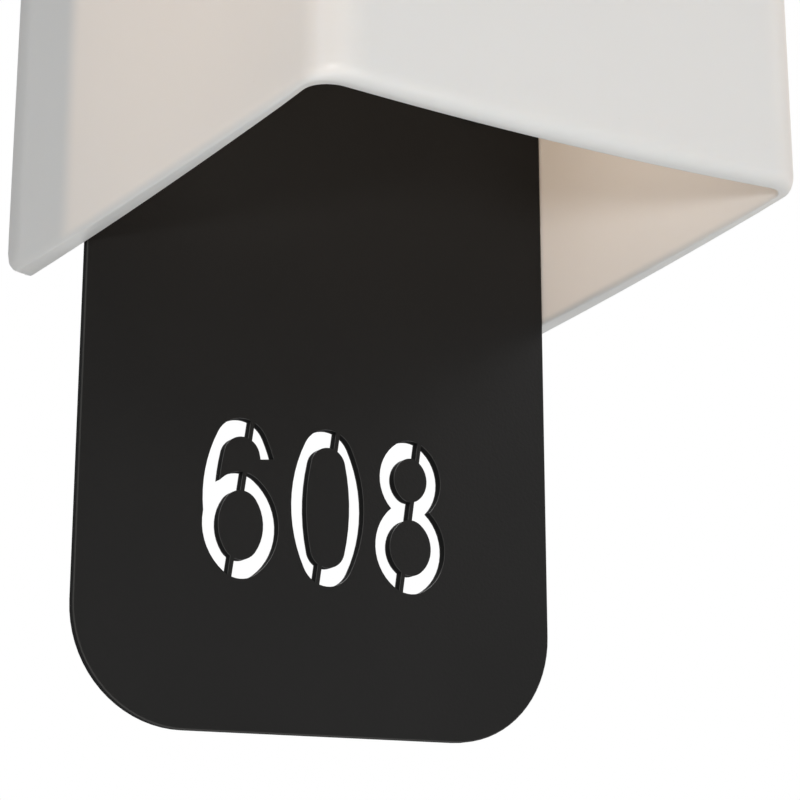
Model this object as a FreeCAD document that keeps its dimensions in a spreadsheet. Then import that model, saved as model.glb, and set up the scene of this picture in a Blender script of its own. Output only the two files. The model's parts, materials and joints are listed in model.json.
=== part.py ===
import FreeCAD, Part
import math
import os
import Sketcher

# Lit house number sign for a wall: a U-shaped opal shade with a closed top hangs over a black number plate.
# Frame: +Z up, the wall is the plane y = 0, the front faces -Y. Origin: centre of the wall plate's back face.
# Lengths are in millimetres.

doc = FreeCAD.newDocument("number_light")
sheet = doc.addObject("Spreadsheet::Sheet", "Sizes")

SIZES = {
    # number plate
    "plate_width": 165,
    "plate_drop": 145,
    "plate_headroom": 13,
    "plate_thick": 3.5,
    "plate_corner": 36,
    "plate_top_corner": 8,
    "plate_edge_bevel": 0.4,
    # stencil numerals
    "numeral_height": 50.2,
    "numeral_width": 25.8,
    "numeral_pitch": 29.9,
    "numeral_lift": 46.1,
    "stroke_side": 5.4,
    "stroke_end": 5.9,
    "oval_end_share": 0.71,
    "counter_end_share": 0.8,
    "bridge_width": 1.3,
    "bridge_lean": 8,
    "six_bowl_height": 33.3,
    "six_mouth_drop": 13.2,
    "six_mouth_tilt": 7,
    "eight_head_width": 22.8,
    "eight_head_height": 26.2,
    "eight_bowl_height": 29.9,
    "eight_end_share": 0.82,
    # opal shade
    "shade_height": 210,
    "shade_depth": 181,
    "shade_front_width": 148,
    "front_wall": 6,
    "side_wall_front": 3,
    "side_wall_rear": 7.2,
    "top_wall": 5.5,
    "outer_corner": 11.5,
    "inner_corner": 7.5,
    "top_round": 12,
    "ceiling_round": 8,
    "heel_round": 9,
    "lip_round": 1.1,
    "wall_gap": 0.5,
    "edge_gap": 0.3,
    # rear housing and wall plate
    "housing_inset": 12.5,
    "housing_headroom": 30,
    "housing_depth": 41,
    "housing_corner": 10,
    "sheet_metal": 2,
    "gasket_thick": 2,
    "gasket_margin": 2,
    "fold_gap": 0.2,
    "wall_plate_height": 100,
    "wall_plate_corner": 6,
    "cable_hole": 11,
    "wall_slot_spacing": 76,
    "wall_slot_long": 26,
    "wall_slot_wide": 5.2,
    "tab_height": 20,
    "tab_reach": 15,
    "tab_screw_in": 9,
    "screw_shank": 2,
    "screw_head": 3.8,
    "screw_head_thick": 2.4,
    "screw_head_taper": 0.9,
    "screw_gap": 0.2,
    "washer_thick": 0.8,
    # shade hooks and their thumb screws
    "hook_rise": 40,
    "hook_set_back": 26,
    "hook_height": 36,
    "hook_flange": 18,
    "hook_foot": 13,
    "hook_sheet": 1.6,
    "hook_slot_gap": 0.25,
    "hook_screw_spread": 20,
    "pad_thick": 1.8,
    "pad_radius": 8,
    "slide_gap": 0.25,
    "thumb_shank": 2.5,
    "thumb_radius": 9,
    "thumb_head": 12,
    "thumb_flute_count": 12,
    "thumb_flute": 1.6,
    "thumb_neck": 3,
    "thumb_soft": 1,
    "thumb_tip": 1,
    "nut_across": 8,
    "nut_thick": 4,
    "thread_gap": 0.05,
    "hole_gap": 1,
    # lamp, its holder and the bracket that carries them
    "bracket_rise": 9,
    "bracket_width": 40,
    "bracket_leg": 34,
    "bracket_nose": 20,
    "bracket_bend": 3,
    "bracket_screw_spread": 28,
    "nipple_radius": 5,
    "nipple_bore": 3.5,
    "nipple_long": 16,
    "nipple_nut_across": 14,
    "nipple_nut_thick": 3,
    "holder_cap_radius": 17,
    "holder_cap_height": 17,
    "holder_wall": 2,
    "holder_radius": 20,
    "holder_height": 34,
    "holder_shoulder": 4,
    "insert_thick": 7,
    "contact_drop": 2.4,
    "contact_sheet": 0.6,
    "contact_long": 14,
    "contact_wide": 5,
    "shell_radius": 14.2,
    "shell_wall": 0.5,
    "shell_long": 22,
    "lamp_gap": 0.35,
    "lamp_cap_wall": 0.6,
    "lamp_cap_long": 20,
    "lamp_cap_chamfer": 2,
    "lamp_tongue": 6,
    "lamp_insulator": 3,
    "lamp_contact_radius": 4.5,
    "lamp_contact_thick": 1.2,
    "lamp_collar_radius": 19,
    "globe_radius": 30,
    "lamp_long": 104,
    # wiring
    "terminal_width": 30,
    "terminal_height": 18,
    "terminal_thick": 15,
    "terminal_lift": 4.5,
    "terminal_wall": 5.2,
    "terminal_bore": 2.2,
    "terminal_pitch": 9.5,
    "terminal_screw": 1.7,
    "terminal_screw_sunk": 1,
    "terminal_slot_deep": 0.8,
    "terminal_slot_wide": 0.6,
    "terminal_fixing_sunk": 3,
    "grommet_drop": 11,
    "grommet_hole": 5.5,
    "grommet_flange": 7.5,
    "grommet_lip": 1.6,
    "flex_radius": 2.5,
    "flex_gap": 0.5,
    "flex_slack": 8,
    "cable_grommet_bore": 5,
    "earth_screw_side": 35,
    "earth_screw_drop": 35,
}

for row, (alias, size) in enumerate(SIZES.items(), start=1):
    sheet.set(f"A{row}", alias)
    sheet.set(f"B{row}", str(size))
    sheet.setAlias(f"B{row}", alias)
doc.recompute()
SIZE = {alias: float(sheet.get(alias)) for alias in SIZES}


WORKED_OUT = {}


def rule(text):
    """Turns plain size names into references to the sheet, in brackets so that rules can nest."""
    words = text.replace("(", " ( ").replace(")", " ) ").split()
    meant = ["Sizes." + word if word in SIZES else WORKED_OUT.get(word, word) for word in words]
    return "(" + " ".join(meant) + ")"


def value(expression):
    """The number that an expression on the sheet gives now."""
    result = sheet.evalExpression(expression)
    return float(getattr(result, "Value", result))


# Sizes that follow from those on the sheet; a rule may use them by name as well.
WORKED_OUT["housing_side"] = rule("plate_width / 2 - housing_inset")
WORKED_OUT["housing_top"] = rule("shade_height / 2 - housing_headroom")
WORKED_OUT["plate_reach"] = rule("wall_gap + shade_depth - gasket_thick - housing_depth - plate_thick")
WORKED_OUT["bracket_level"] = rule("housing_top + bracket_rise")
WORKED_OUT["grommet_level"] = rule("housing_top - grommet_drop")

# Levels and planes that several pieces share.
RIM = rule("0 - shade_height / 2")
CROWN = rule("shade_height / 2")
CEILING = rule("shade_height / 2 - top_wall")
SHADE_BACK = rule("0 - wall_gap")
SHADE_INSIDE = rule("0 - wall_gap - shade_depth")
SHADE_FRONT = rule("0 - wall_gap - shade_depth - front_wall")
PLATE_FRONT = rule("0 - gasket_thick - housing_depth - plate_thick")
PLATE_BACK = rule("0 - gasket_thick - housing_depth")
PLATE_TOP = rule("shade_height / 2 - plate_headroom")
PLATE_BOTTOM = rule("0 - shade_height / 2 - plate_drop")

# Half widths of the shade. Its inside passes the plate's edges with edge_gap to spare.
INNER_FRONT = rule("shade_front_width / 2")
INNER_SLOPE = rule("( plate_width / 2 + edge_gap - shade_front_width / 2 ) / plate_reach")
INNER_BACK = f"({INNER_FRONT} + {INNER_SLOPE} * Sizes.shade_depth)"
OUTER_BACK = f"({INNER_BACK} + Sizes.side_wall_rear)"
OUTER_SLOPE = f"(({OUTER_BACK} - {INNER_FRONT} - Sizes.side_wall_front) / Sizes.shade_depth)"
OUTER_FRONT = f"({INNER_FRONT} + Sizes.side_wall_front - {OUTER_SLOPE} * Sizes.front_wall)"

# Numeral heights, measured on the plate.
NUMERAL_LOW = rule("numeral_lift - shade_height / 2 - plate_drop")
NUMERAL_MIDDLE = rule("numeral_lift - shade_height / 2 - plate_drop + numeral_height / 2")

# The lamp hangs halfway along the lamp space; its holder starts under the bracket.
LAMP_Y = f"(({PLATE_FRONT} + {SHADE_INSIDE}) / 2)"
BRACKET_TOP = rule("bracket_level")
BRACKET_LOW = rule("bracket_level - sheet_metal")
HOUSING_INSIDE = rule("0 - gasket_thick - housing_depth + sheet_metal")


# ---------------------------------------------------------------- helpers


def named(kind, label):
    """A new document object with its label."""
    thing = doc.addObject(kind, label)
    thing.Label = label
    return thing


def bind(thing, **rules):
    """Binds properties to expressions; a double underscore stands for a dot."""
    for name, expression in rules.items():
        thing.setExpression(name.replace("__", "."), expression)


def at(thing, x="0", y="0", z="0"):
    """Puts an object's own origin at a place given by expressions."""
    bind(thing, Placement__Base__x=x, Placement__Base__y=y, Placement__Base__z=z)
    return thing


def block(label, x, y, z):
    """A box between pairs of expressions."""
    thing = named("Part::Box", label)
    bind(thing, Length=f"{x[1]} - {x[0]}", Width=f"{y[1]} - {y[0]}", Height=f"{z[1]} - {z[0]}")
    return at(thing, x[0], y[0], z[0])


TURN_TO = {
    "x": FreeCAD.Rotation(FreeCAD.Vector(0, 1, 0), 90),
    "y": FreeCAD.Rotation(FreeCAD.Vector(1, 0, 0), -90),
    "z": FreeCAD.Rotation(),
}


def rod(label, axis, start, radius, long):
    """A cylinder from start, towards plus along its axis."""
    thing = named("Part::Cylinder", label)
    bind(thing, Radius=radius, Height=long)
    thing.Placement.Rotation = TURN_TO[axis]
    return at(thing, *start)


def joined(label, *pieces):
    thing = named("Part::MultiFuse", label)
    thing.Shapes = list(pieces)
    thing.Refine = True
    return thing


def minus(label, base, *tools):
    thing = named("Part::Cut", label)
    thing.Base = base
    thing.Tool = tools[0] if len(tools) == 1 else joined(label + "_tools", *tools)
    thing.Refine = True
    return thing


def plane_of(body, role):
    return next(f for f in body.Origin.OriginFeatures if f.Role == role)


def outline(body, role, name, corners, offset="0"):
    """A closed sketch of straight lines on one of the body's own planes.

    Each corner is a pair of expressions, held by two distances from the sketch's origin.
    """
    sketch = body.newObject("Sketcher::SketchObject", name)
    sketch.AttachmentSupport = (plane_of(body, role), [""])
    sketch.MapMode = "FlatFace"
    bind(sketch, AttachmentOffset__Base__z=offset)
    points = [FreeCAD.Vector(value(u), value(v), 0) for u, v in corners]
    count = len(points)
    for k in range(count):
        sketch.addGeometry(Part.LineSegment(points[k], points[(k + 1) % count]), False)
    for k in range(count):
        sketch.addConstraint(Sketcher.Constraint("Coincident", k, 2, (k + 1) % count, 1))
    for k, (u, v) in enumerate(corners):
        across = sketch.addConstraint(Sketcher.Constraint("DistanceX", -1, 1, k, 1, points[k].x))
        sketch.setExpression(f"Constraints[{across}]", u)
        up = sketch.addConstraint(Sketcher.Constraint("DistanceY", -1, 1, k, 1, points[k].y))
        sketch.setExpression(f"Constraints[{up}]", v)
    return sketch


def pad(body, sketch, name, length, reverse=False):
    feature = body.newObject("PartDesign::Pad", name)
    feature.Profile = sketch
    feature.Reversed = reverse
    bind(feature, Length=length)
    doc.recompute()
    return feature


def eased(body, base, name, wanted, kind, **size):
    """A fillet or chamfer on the edges of the base feature that pass a test."""
    names = [f"Edge{k}" for k, edge in enumerate(base.Shape.Edges, start=1) if wanted(edge)]
    feature = body.newObject("PartDesign::" + kind, name)
    feature.Base = (base, names)
    bind(feature, **size)
    doc.recompute()
    return feature


def rounded(body, base, name, radius, wanted):
    return eased(body, base, name, wanted, "Fillet", Radius=radius)


def bevelled(body, base, name, width, wanted):
    return eased(body, base, name, wanted, "Chamfer", Size=width)


# Places closer together than this count as one.
SAME_PLACE = 0.01


def level(edge, axis, place):
    """True if the whole edge lies at one place along an axis."""
    box = edge.BoundBox
    low, high = getattr(box, axis + "Min"), getattr(box, axis + "Max")
    return abs(low - place) < SAME_PLACE and abs(high - place) < SAME_PLACE


def runs_along(edge, axis):
    """True for a straight edge along an axis."""
    run = edge.valueAt(edge.LastParameter) - edge.valueAt(edge.FirstParameter)
    return edge.Curve.TypeId == "Part::GeomLine" and run.Length - abs(getattr(run, axis)) < SAME_PLACE


def body_named(label):
    body = doc.addObject("PartDesign::Body", label)
    body.Label = label
    return body


# ---------------------------------------------------------------- number plate


def oval(centre, half_width, half_height, end_radius):
    """A four-centre oval standing in the plate: two end arcs and two flatter side arcs."""
    spread = half_width**2 + half_height**2 - 2 * half_height * end_radius
    side_radius = spread / (2 * (half_width - end_radius))
    side_centre = side_radius - half_width
    end_centre = half_height - end_radius
    lean = math.atan2(end_centre, side_centre)
    join_x = side_radius * math.cos(lean) - side_centre
    join_z = side_radius * math.sin(lean)

    def spot(x, z):
        return FreeCAD.Vector(centre[0] + x, 0, centre[1] + z)

    arcs = [
        Part.Arc(spot(join_x, join_z), spot(0, half_height), spot(-join_x, join_z)),
        Part.Arc(spot(-join_x, join_z), spot(-half_width, 0), spot(-join_x, -join_z)),
        Part.Arc(spot(-join_x, -join_z), spot(0, -half_height), spot(join_x, -join_z)),
        Part.Arc(spot(join_x, -join_z), spot(half_width, 0), spot(join_x, join_z)),
    ]
    return Part.Face(Part.Wire([arc.toShape() for arc in arcs]))


def numeral_faces():
    """The open areas of 6, 0 and 8 as faces in the plane y = 0, without their bridges."""
    width = SIZE["numeral_width"]
    height = SIZE["numeral_height"]
    side = SIZE["stroke_side"]
    end = SIZE["stroke_end"]
    middle = value(NUMERAL_MIDDLE)
    low = value(NUMERAL_LOW)

    def ring(centre, full_width, full_height, outer_share=SIZE["oval_end_share"]):
        inner_share = SIZE["counter_end_share"]
        half_width, half_height = full_width / 2, full_height / 2
        outer = oval(centre, half_width, half_height, outer_share * half_width)
        counter = oval(centre, half_width - side, half_height - end, inner_share * (half_width - side))
        return outer, counter

    def quad(*corners):
        points = [FreeCAD.Vector(x, 0, z) for x, z in corners]
        return Part.Face(Part.makePolygon(points + points[:1]))

    def six(x):
        outer, counter = ring((x, middle), width, height)
        mouth = low + height - SIZE["six_mouth_drop"]
        rise = width * math.tan(math.radians(SIZE["six_mouth_tilt"]))
        gap = quad((x, low - end), (x + width, low - end), (x + width, mouth + rise), (x, mouth))
        bowl, hole = ring((x, low + SIZE["six_bowl_height"] / 2), width, SIZE["six_bowl_height"])
        return outer.cut(counter).cut(gap).fuse(bowl).cut(hole)

    def nought(x):
        outer, counter = ring((x, middle), width, height)
        return outer.cut(counter)

    def eight(x):
        head_height = SIZE["eight_head_height"]
        bowl_height = SIZE["eight_bowl_height"]
        share = SIZE["eight_end_share"]
        head, eye = ring((x, low + height - head_height / 2), SIZE["eight_head_width"], head_height, share)
        bowl, hole = ring((x, low + bowl_height / 2), width, bowl_height, share)
        return head.fuse(bowl).cut(eye).cut(hole)

    pitch = SIZE["numeral_pitch"]
    return [(-pitch, six(-pitch)), (0, nought(0)), (pitch, eight(pitch))]


def numeral_cutter():
    """The solids that the numerals take out of the plate; each is split by one leaning bridge."""
    height = SIZE["numeral_height"]
    half_bridge = SIZE["bridge_width"] / 2
    middle = value(NUMERAL_MIDDLE)
    lean = math.radians(SIZE["bridge_lean"])
    along = FreeCAD.Vector(math.sin(lean), 0, math.cos(lean)) * height
    aside = FreeCAD.Vector(math.cos(lean), 0, -math.sin(lean)) * half_bridge
    solids = []
    for x, face in numeral_faces():
        centre = FreeCAD.Vector(x, 0, middle)
        top, bottom = centre + along, centre - along
        corners = [bottom - aside, top - aside, top + aside, bottom + aside, bottom - aside]
        bridge = Part.Face(Part.makePolygon(corners))
        opening = face.cut(bridge)
        start = FreeCAD.Vector(0, value(PLATE_FRONT) - SIZE["plate_thick"], 0)
        solids.append(opening.translated(start).extrude(FreeCAD.Vector(0, 3 * SIZE["plate_thick"], 0)))
    cutter = named("Part::Feature", "numeral_cutter")
    cutter.Shape = Part.makeCompound([solid for group in solids for solid in group.Solids])
    return cutter


def number_plate():
    """Sheet-metal plate with large lower corners; the numerals are cut right through it."""
    body = body_named("plate_blank")
    half = rule("plate_width / 2")
    corners = [(f"-{half}", PLATE_BOTTOM), (half, PLATE_BOTTOM), (half, PLATE_TOP), (f"-{half}", PLATE_TOP)]
    face = outline(body, "XZ_Plane", "plate_outline", corners, offset=f"-{PLATE_FRONT}")
    blank = pad(body, face, "plate_sheet", rule("plate_thick"), reverse=True)
    bottom, top = value(PLATE_BOTTOM), value(PLATE_TOP)
    lower = rounded(body, blank, "plate_corners", rule("plate_corner"),
                    lambda e: runs_along(e, "y") and level(e, "Z", bottom))
    upper = rounded(body, lower, "plate_shoulders", rule("plate_top_corner"),
                    lambda e: runs_along(e, "y") and level(e, "Z", top))
    front, back = value(PLATE_FRONT), value(PLATE_BACK)
    bevelled(body, upper, "plate_edges", rule("plate_edge_bevel"),
             lambda e: level(e, "Y", front) or level(e, "Y", back))
    holes = [numeral_cutter(), grommet_bore("plate_grommet_bore")]
    for side, height in plate_screw_places():
        holes.append(screw_hole(f"plate_hole_{len(holes)}", side, PLATE_FRONT, height))
    for side, height in bracket_screw_places():
        holes.append(screw_hole(f"plate_hole_{len(holes)}", side, PLATE_FRONT, height))
    return minus("number_plate", body, *holes)


# ---------------------------------------------------------------- screws and their places


def plate_screw_places():
    """Four screws hold the plate to the housing, above the part that the open rim shows."""
    across = rule("housing_side - housing_corner - screw_head")
    low = rule("0 - housing_top / 2 + screw_head")
    high = rule("housing_top - housing_corner - screw_head")
    return [(f"({sign} * {across})", height) for sign in (-1, 1) for height in (low, high)]


def bracket_screw_places():
    across = rule("bracket_screw_spread / 2")
    height = rule("bracket_level - bracket_leg + screw_head + sheet_metal")
    return [(f"({sign} * {across})", height) for sign in (-1, 1)]


def screw_hole(label, x, y, z):
    """A clearance hole for one screw through plate, housing front and bracket."""
    depth = rule("plate_thick + 6 * sheet_metal")
    return rod(label, "y", (x, f"({y} - 3 * Sizes.sheet_metal)", z), rule("screw_shank + screw_gap"), depth)


def prism(label, across_flats, long):
    """A hexagonal prism given by its width across flats."""
    thing = named("Part::Prism", label)
    thing.Polygon = 6
    bind(thing, Circumradius=f"({rule(across_flats)} / sqrt(3))", Height=rule(long))
    return thing


def pan_screw(label, axis, seat, direction, long):
    """A pan-head screw: tapered head on the seat, shank going the other way.

    seat is the point under the head, and direction is the sign along the axis in which the head lies.
    """
    head = named("Part::Cone", label + "_head")
    bind(head, Radius1=rule("screw_head"), Radius2=rule("screw_head - screw_head_taper"))
    bind(head, Height=rule("screw_head_thick"))
    shank = named("Part::Cylinder", label + "_shank")
    bind(shank, Radius=rule("screw_shank"), Height=long, Placement__Base__z=f"-{long}")
    screw = joined(label, head, shank)
    outwards = FreeCAD.Vector(*[direction * (axis == letter) for letter in "xyz"])
    screw.Placement.Rotation = FreeCAD.Rotation(FreeCAD.Vector(0, 0, 1), outwards)
    return at(screw, *seat)


def group(label, pieces):
    thing = named("Part::Compound", label)
    thing.Links = pieces
    return thing


def plate_screws():
    long = rule("plate_thick + 3 * sheet_metal")
    screws = []
    for x, z in plate_screw_places():
        screws.append(pan_screw(f"plate_screw_{len(screws)}", "y", (x, PLATE_FRONT, z), -1, long))
    return group("plate_screws", screws)


def bracket_screws():
    long = rule("plate_thick + 4 * sheet_metal")
    seat = f"({PLATE_FRONT} - Sizes.sheet_metal)"
    screws = []
    for x, z in bracket_screw_places():
        screws.append(pan_screw(f"bracket_screw_{len(screws)}", "y", (x, seat, z), -1, long))
    return group("bracket_screws", screws)


# ---------------------------------------------------------------- opal shade

# How far a cutting block runs past the face that it opens.
OVERCUT = 5


def flared_block(label, back, front, low, high, corner, top_radius):
    """A block that flares towards the wall, with rounded front corners and a rounded top edge.

    back and front are pairs of half width and y; low and high are levels.
    """
    body = body_named(label)
    plan = [(f"-{back[0]}", back[1]), (f"-{front[0]}", front[1]), front, back]
    face = outline(body, "XY_Plane", label + "_plan", plan, offset=low)
    solid = pad(body, face, label + "_pad", f"{high} - {low}")
    front_y, back_y, top = value(front[1]), value(back[1]), value(high)
    bent = rounded(body, solid, label + "_corners", corner,
                   lambda e: runs_along(e, "z") and level(e, "Y", front_y))
    rounded(body, bent, label + "_top", top_radius,
            lambda e: level(e, "Z", top) and not level(e, "Y", back_y))
    return body


def edge_fillet(label, base, radius, wanted):
    """A fillet on a finished solid's edges that pass a test."""
    doc.recompute()
    feature = named("Part::Fillet", label)
    feature.Base = base
    size = value(radius)
    chosen = [k for k, edge in enumerate(base.Shape.Edges, start=1) if wanted(edge)]
    feature.Edges = [(k, size, size) for k in chosen]
    return feature


def opal_shade():
    """Thick moulded shade: open below and behind, closed on top, flaring towards the wall."""
    outside = flared_block(
        "shade_outside", (OUTER_BACK, SHADE_BACK), (OUTER_FRONT, SHADE_FRONT), RIM, CROWN,
        rule("outer_corner"), rule("top_round"),
    )
    behind = (f"({INNER_BACK} + {OVERCUT} * {INNER_SLOPE})", f"({SHADE_BACK} + {OVERCUT})")
    below = f"({RIM} - {OVERCUT})"
    inside = flared_block(
        "shade_inside", behind, (INNER_FRONT, SHADE_INSIDE), below, CEILING,
        rule("inner_corner"), rule("ceiling_round"),
    )
    shell = minus("shade_shell", outside, inside)
    rim, back = value(RIM), value(SHADE_BACK)
    heeled = edge_fillet(
        "shade_heels", shell, rule("heel_round"), lambda e: level(e, "Z", rim) and level(e, "Y", back)
    )
    softened = edge_fillet("shade_lip", heeled, rule("lip_round"), lambda e: level(e, "Z", rim))
    bores = []
    for side in SIDES:
        bores.append(thumb_rod(f"shade_bore_{side}", side, "0 - 2 * side_wall_rear", "4 * side_wall_rear",
                               "thumb_shank + hole_gap"))
    return minus("shade", softened, *bores)


# ---------------------------------------------------------------- thumb screws, pads and hooks

SIDES = ("left", "right")
SIGN = {"left": -1, "right": 1}

# Where a thumb screw's axis leaves the shade's outer face.
THUMB_Y = rule("0 - hook_set_back")
THUMB_Z = rule("hook_rise")
THUMB_X = f"({OUTER_BACK} + {OUTER_SLOPE} * ({THUMB_Y} - {SHADE_BACK}))"
THUMB_INSIDE = f"({INNER_BACK} + {INNER_SLOPE} * ({THUMB_Y} - {SHADE_BACK}))"


def thumb_place(side, out=0.0):
    """Placement whose +Z runs outwards along a thumb screw's axis, square to the shade's outer face."""
    slope = value(OUTER_SLOPE)
    lean = math.atan(slope)
    outwards = FreeCAD.Vector(SIGN[side] * math.cos(lean), -math.sin(lean), 0)
    start = FreeCAD.Vector(SIGN[side] * value(THUMB_X), value(THUMB_Y), value(THUMB_Z))
    up = FreeCAD.Vector(0, 0, 1)
    turned = FreeCAD.Rotation(up, outwards.cross(up), outwards, "ZXY")
    return FreeCAD.Placement(start + outwards * out, turned)


def thumb_rod(label, side, start, long, radius):
    """A cylinder on a thumb screw's axis; start counts outwards from the shade's outer face."""
    thing = named("Part::Cylinder", label)
    bind(thing, Radius=rule(radius), Height=rule(long))
    thing.Placement = thumb_place(side, value(rule(start)))
    return thing


WALL_HERE = f"({THUMB_X} - {THUMB_INSIDE})"
INNER_PAD_END = f"({WALL_HERE} + {rule('slide_gap + pad_thick')})"
FLANGE_NEAR = f"({INNER_PAD_END} + Sizes.slide_gap)"
FLANGE_FAR = f"({FLANGE_NEAR} + Sizes.hook_sheet)"
NUT_NEAR = f"({FLANGE_FAR} + Sizes.slide_gap)"
NUT_FAR = f"({NUT_NEAR} + Sizes.nut_thick)"


def on_thumb(thing, side, out):
    thing.Placement = thumb_place(side, value(out))
    return thing


def soft_pad(label, side, out):
    """A silicone washer on a thumb screw's axis."""
    disc = named("Part::Cylinder", label + "_disc")
    bind(disc, Radius=rule("pad_radius"), Height=rule("pad_thick"))
    bore = named("Part::Cylinder", label + "_bore")
    bind(bore, Radius=rule("thumb_shank + screw_gap"), Height=rule("pad_thick"))
    return on_thumb(minus(label, disc, bore), side, out)


def inner_pads():
    return group("inner_pads", [soft_pad(f"inner_pad_{side}", side, f"-{INNER_PAD_END}") for side in SIDES])


def outer_pads():
    return group("outer_pads", [soft_pad(f"outer_pad_{side}", side, "0") for side in SIDES])


def clamp_nut(label, side):
    """A square nut behind the hook; it travels with the shade."""
    blank = named("Part::Box", label + "_blank")
    bind(blank, Length=rule("nut_across"), Width=rule("nut_across"), Height=rule("nut_thick"))
    at(blank, rule("0 - nut_across / 2"), rule("0 - nut_across / 2"))
    bore = named("Part::Cylinder", label + "_bore")
    bind(bore, Radius=rule("thumb_shank + thread_gap"), Height=rule("nut_thick"))
    return on_thumb(minus(label, blank, bore), side, f"-{NUT_FAR}")


def clamp_nuts():
    return group("clamp_nuts", [clamp_nut(f"clamp_nut_{side}", side) for side in SIDES])


def thumb_screw(side):
    """Fluted knob, narrower neck and a shank that reaches through the shade, the hook and the nut."""
    label = f"thumb_screw_{side}"
    neck = named("Part::Cone", label + "_neck")
    bind(neck, Radius1=rule("pad_radius - thumb_soft"), Radius2=rule("thumb_radius - thumb_soft"))
    bind(neck, Height=rule("thumb_neck"))
    knob = named("Part::Cylinder", label + "_knob")
    bind(knob, Radius=rule("thumb_radius"), Height=rule("thumb_head - thumb_neck"))
    bind(knob, Placement__Base__z=rule("thumb_neck"))
    doc.recompute()
    soft = named("Part::Chamfer", label + "_soft")
    soft.Base = knob
    rims = [k for k, edge in enumerate(knob.Shape.Edges, start=1) if edge.Curve.TypeId == "Part::GeomCircle"]
    soft.Edges = [(k, SIZE["thumb_soft"], SIZE["thumb_soft"]) for k in rims]
    flutes = []
    for k in range(int(SIZE["thumb_flute_count"])):
        turn = 2 * math.pi * k / SIZE["thumb_flute_count"]
        flute = named("Part::Cylinder", f"{label}_flute_{k}")
        bind(flute, Radius=rule("thumb_flute"), Height=rule("thumb_head"))
        across, up = math.cos(turn), math.sin(turn)
        at(flute, f"{across} * Sizes.thumb_radius", f"{up} * Sizes.thumb_radius", rule("thumb_neck"))
        flutes.append(flute)
    shank = named("Part::Cylinder", label + "_shank")
    long = f"({NUT_FAR} + {rule('pad_thick + thumb_tip')})"
    bind(shank, Radius=rule("thumb_shank"), Height=long, Placement__Base__z=f"-{long}")
    screw = joined(label, minus(label + "_head", soft, *flutes), neck, shank)
    return on_thumb(screw, side, rule("pad_thick"))


def hook_screw_places(side):
    x = f"({SIGN[side]} * {rule('housing_side + hook_sheet')})"
    y = f"({THUMB_Y} - {rule('hook_flange / 2 - hook_foot / 2')})"
    return [(x, y, f"({THUMB_Z} + {sign} * {rule('hook_screw_spread / 2')})") for sign in (-1, 1)]


def shade_hook(side):
    """Folded bracket on the housing's side, with a slot open at the top in which the thumb screw hangs."""
    label = f"shade_hook_{side}"
    half = rule("hook_height / 2")
    flange = named("Part::Box", label + "_flange")
    bind(flange, Length=rule("hook_height"), Width=rule("hook_flange"), Height=rule("hook_sheet"))
    flange.Placement = thumb_place(side, -value(FLANGE_FAR)).multiply(
        FreeCAD.Placement(FreeCAD.Vector(-value(half), -SIZE["hook_flange"] / 2, 0), FreeCAD.Rotation())
    )
    slot_half = rule("thumb_shank + hook_slot_gap")
    slot = named("Part::Box", label + "_slot")
    bind(slot, Length=rule("hook_height"), Width=f"2 * {slot_half}", Height=rule("3 * hook_sheet"))
    slot.Placement = thumb_place(side, -value(FLANGE_FAR) - SIZE["hook_sheet"]).multiply(
        FreeCAD.Placement(FreeCAD.Vector(0, -value(slot_half), 0), FreeCAD.Rotation())
    )
    seat = named("Part::Cylinder", label + "_seat")
    bind(seat, Radius=slot_half, Height=rule("3 * hook_sheet"))
    seat.Placement = thumb_place(side, -value(FLANGE_FAR) - SIZE["hook_sheet"])

    front = f"({THUMB_Y} - {rule('hook_flange / 2 + hook_sheet / 4')} + {FLANGE_FAR} * {OUTER_SLOPE})"
    low, high = f"({THUMB_Z} - {half})", f"({THUMB_Z} + {half})"
    inside = rule("housing_side")
    lean = f"{OUTER_SLOPE} * {rule('hook_flange / 2 + hook_sheet')}"
    reach = f"({THUMB_X} - {FLANGE_NEAR} - {lean})"
    foot_end = f"({front} + Sizes.hook_foot)"
    web_end = f"({front} + Sizes.hook_sheet)"

    def mirrored(near, far):
        return (near, far) if side == "right" else (f"(0 - {far})", f"(0 - {near})")

    web = block(label + "_web", mirrored(inside, reach), (front, web_end), (low, high))
    foot_face = rule("housing_side + hook_sheet")
    foot = block(label + "_foot", mirrored(inside, foot_face), (front, foot_end), (low, high))
    holes = []
    for k, (x, y, z) in enumerate(hook_screw_places(side)):
        start = f"({x} - 2 * Sizes.hook_sheet)"
        holes.append(rod(f"{label}_hole_{k}", "x", (start, y, z), rule("screw_shank + screw_gap"),
                         rule("4 * hook_sheet")))
    return minus(label, joined(label + "_blank", flange, web, foot), slot, seat, *holes)


def hook_screws():
    long = rule("hook_sheet + 3 * sheet_metal")
    screws = []
    for side in SIDES:
        for place in hook_screw_places(side):
            screws.append(pan_screw(f"hook_screw_{len(screws)}", "x", place, SIGN[side], long))
    return group("hook_screws", screws)


# ---------------------------------------------------------------- housing, gasket and wall plate


def housing_screw_places():
    y = rule("0 - sheet_metal - tab_screw_in")
    return [(f"({sign} * {rule('housing_side')})", y, "0") for sign in (-1, 1)]


def rounded_sheet(label, half_width, half_height, front, thick, corner):
    """A flat rectangular sheet parallel to the wall with rounded corners; front is its y on the room side."""
    body = body_named(label + "_body")
    corners = [
        (f"-{half_width}", f"-{half_height}"),
        (half_width, f"-{half_height}"),
        (half_width, half_height),
        (f"-{half_width}", half_height),
    ]
    face = outline(body, "XZ_Plane", label + "_outline", corners, offset=f"-({front})")
    blank = pad(body, face, label + "_sheet", thick, reverse=True)
    rounded(body, blank, label + "_corners", corner, lambda e: runs_along(e, "y"))
    return body


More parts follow.
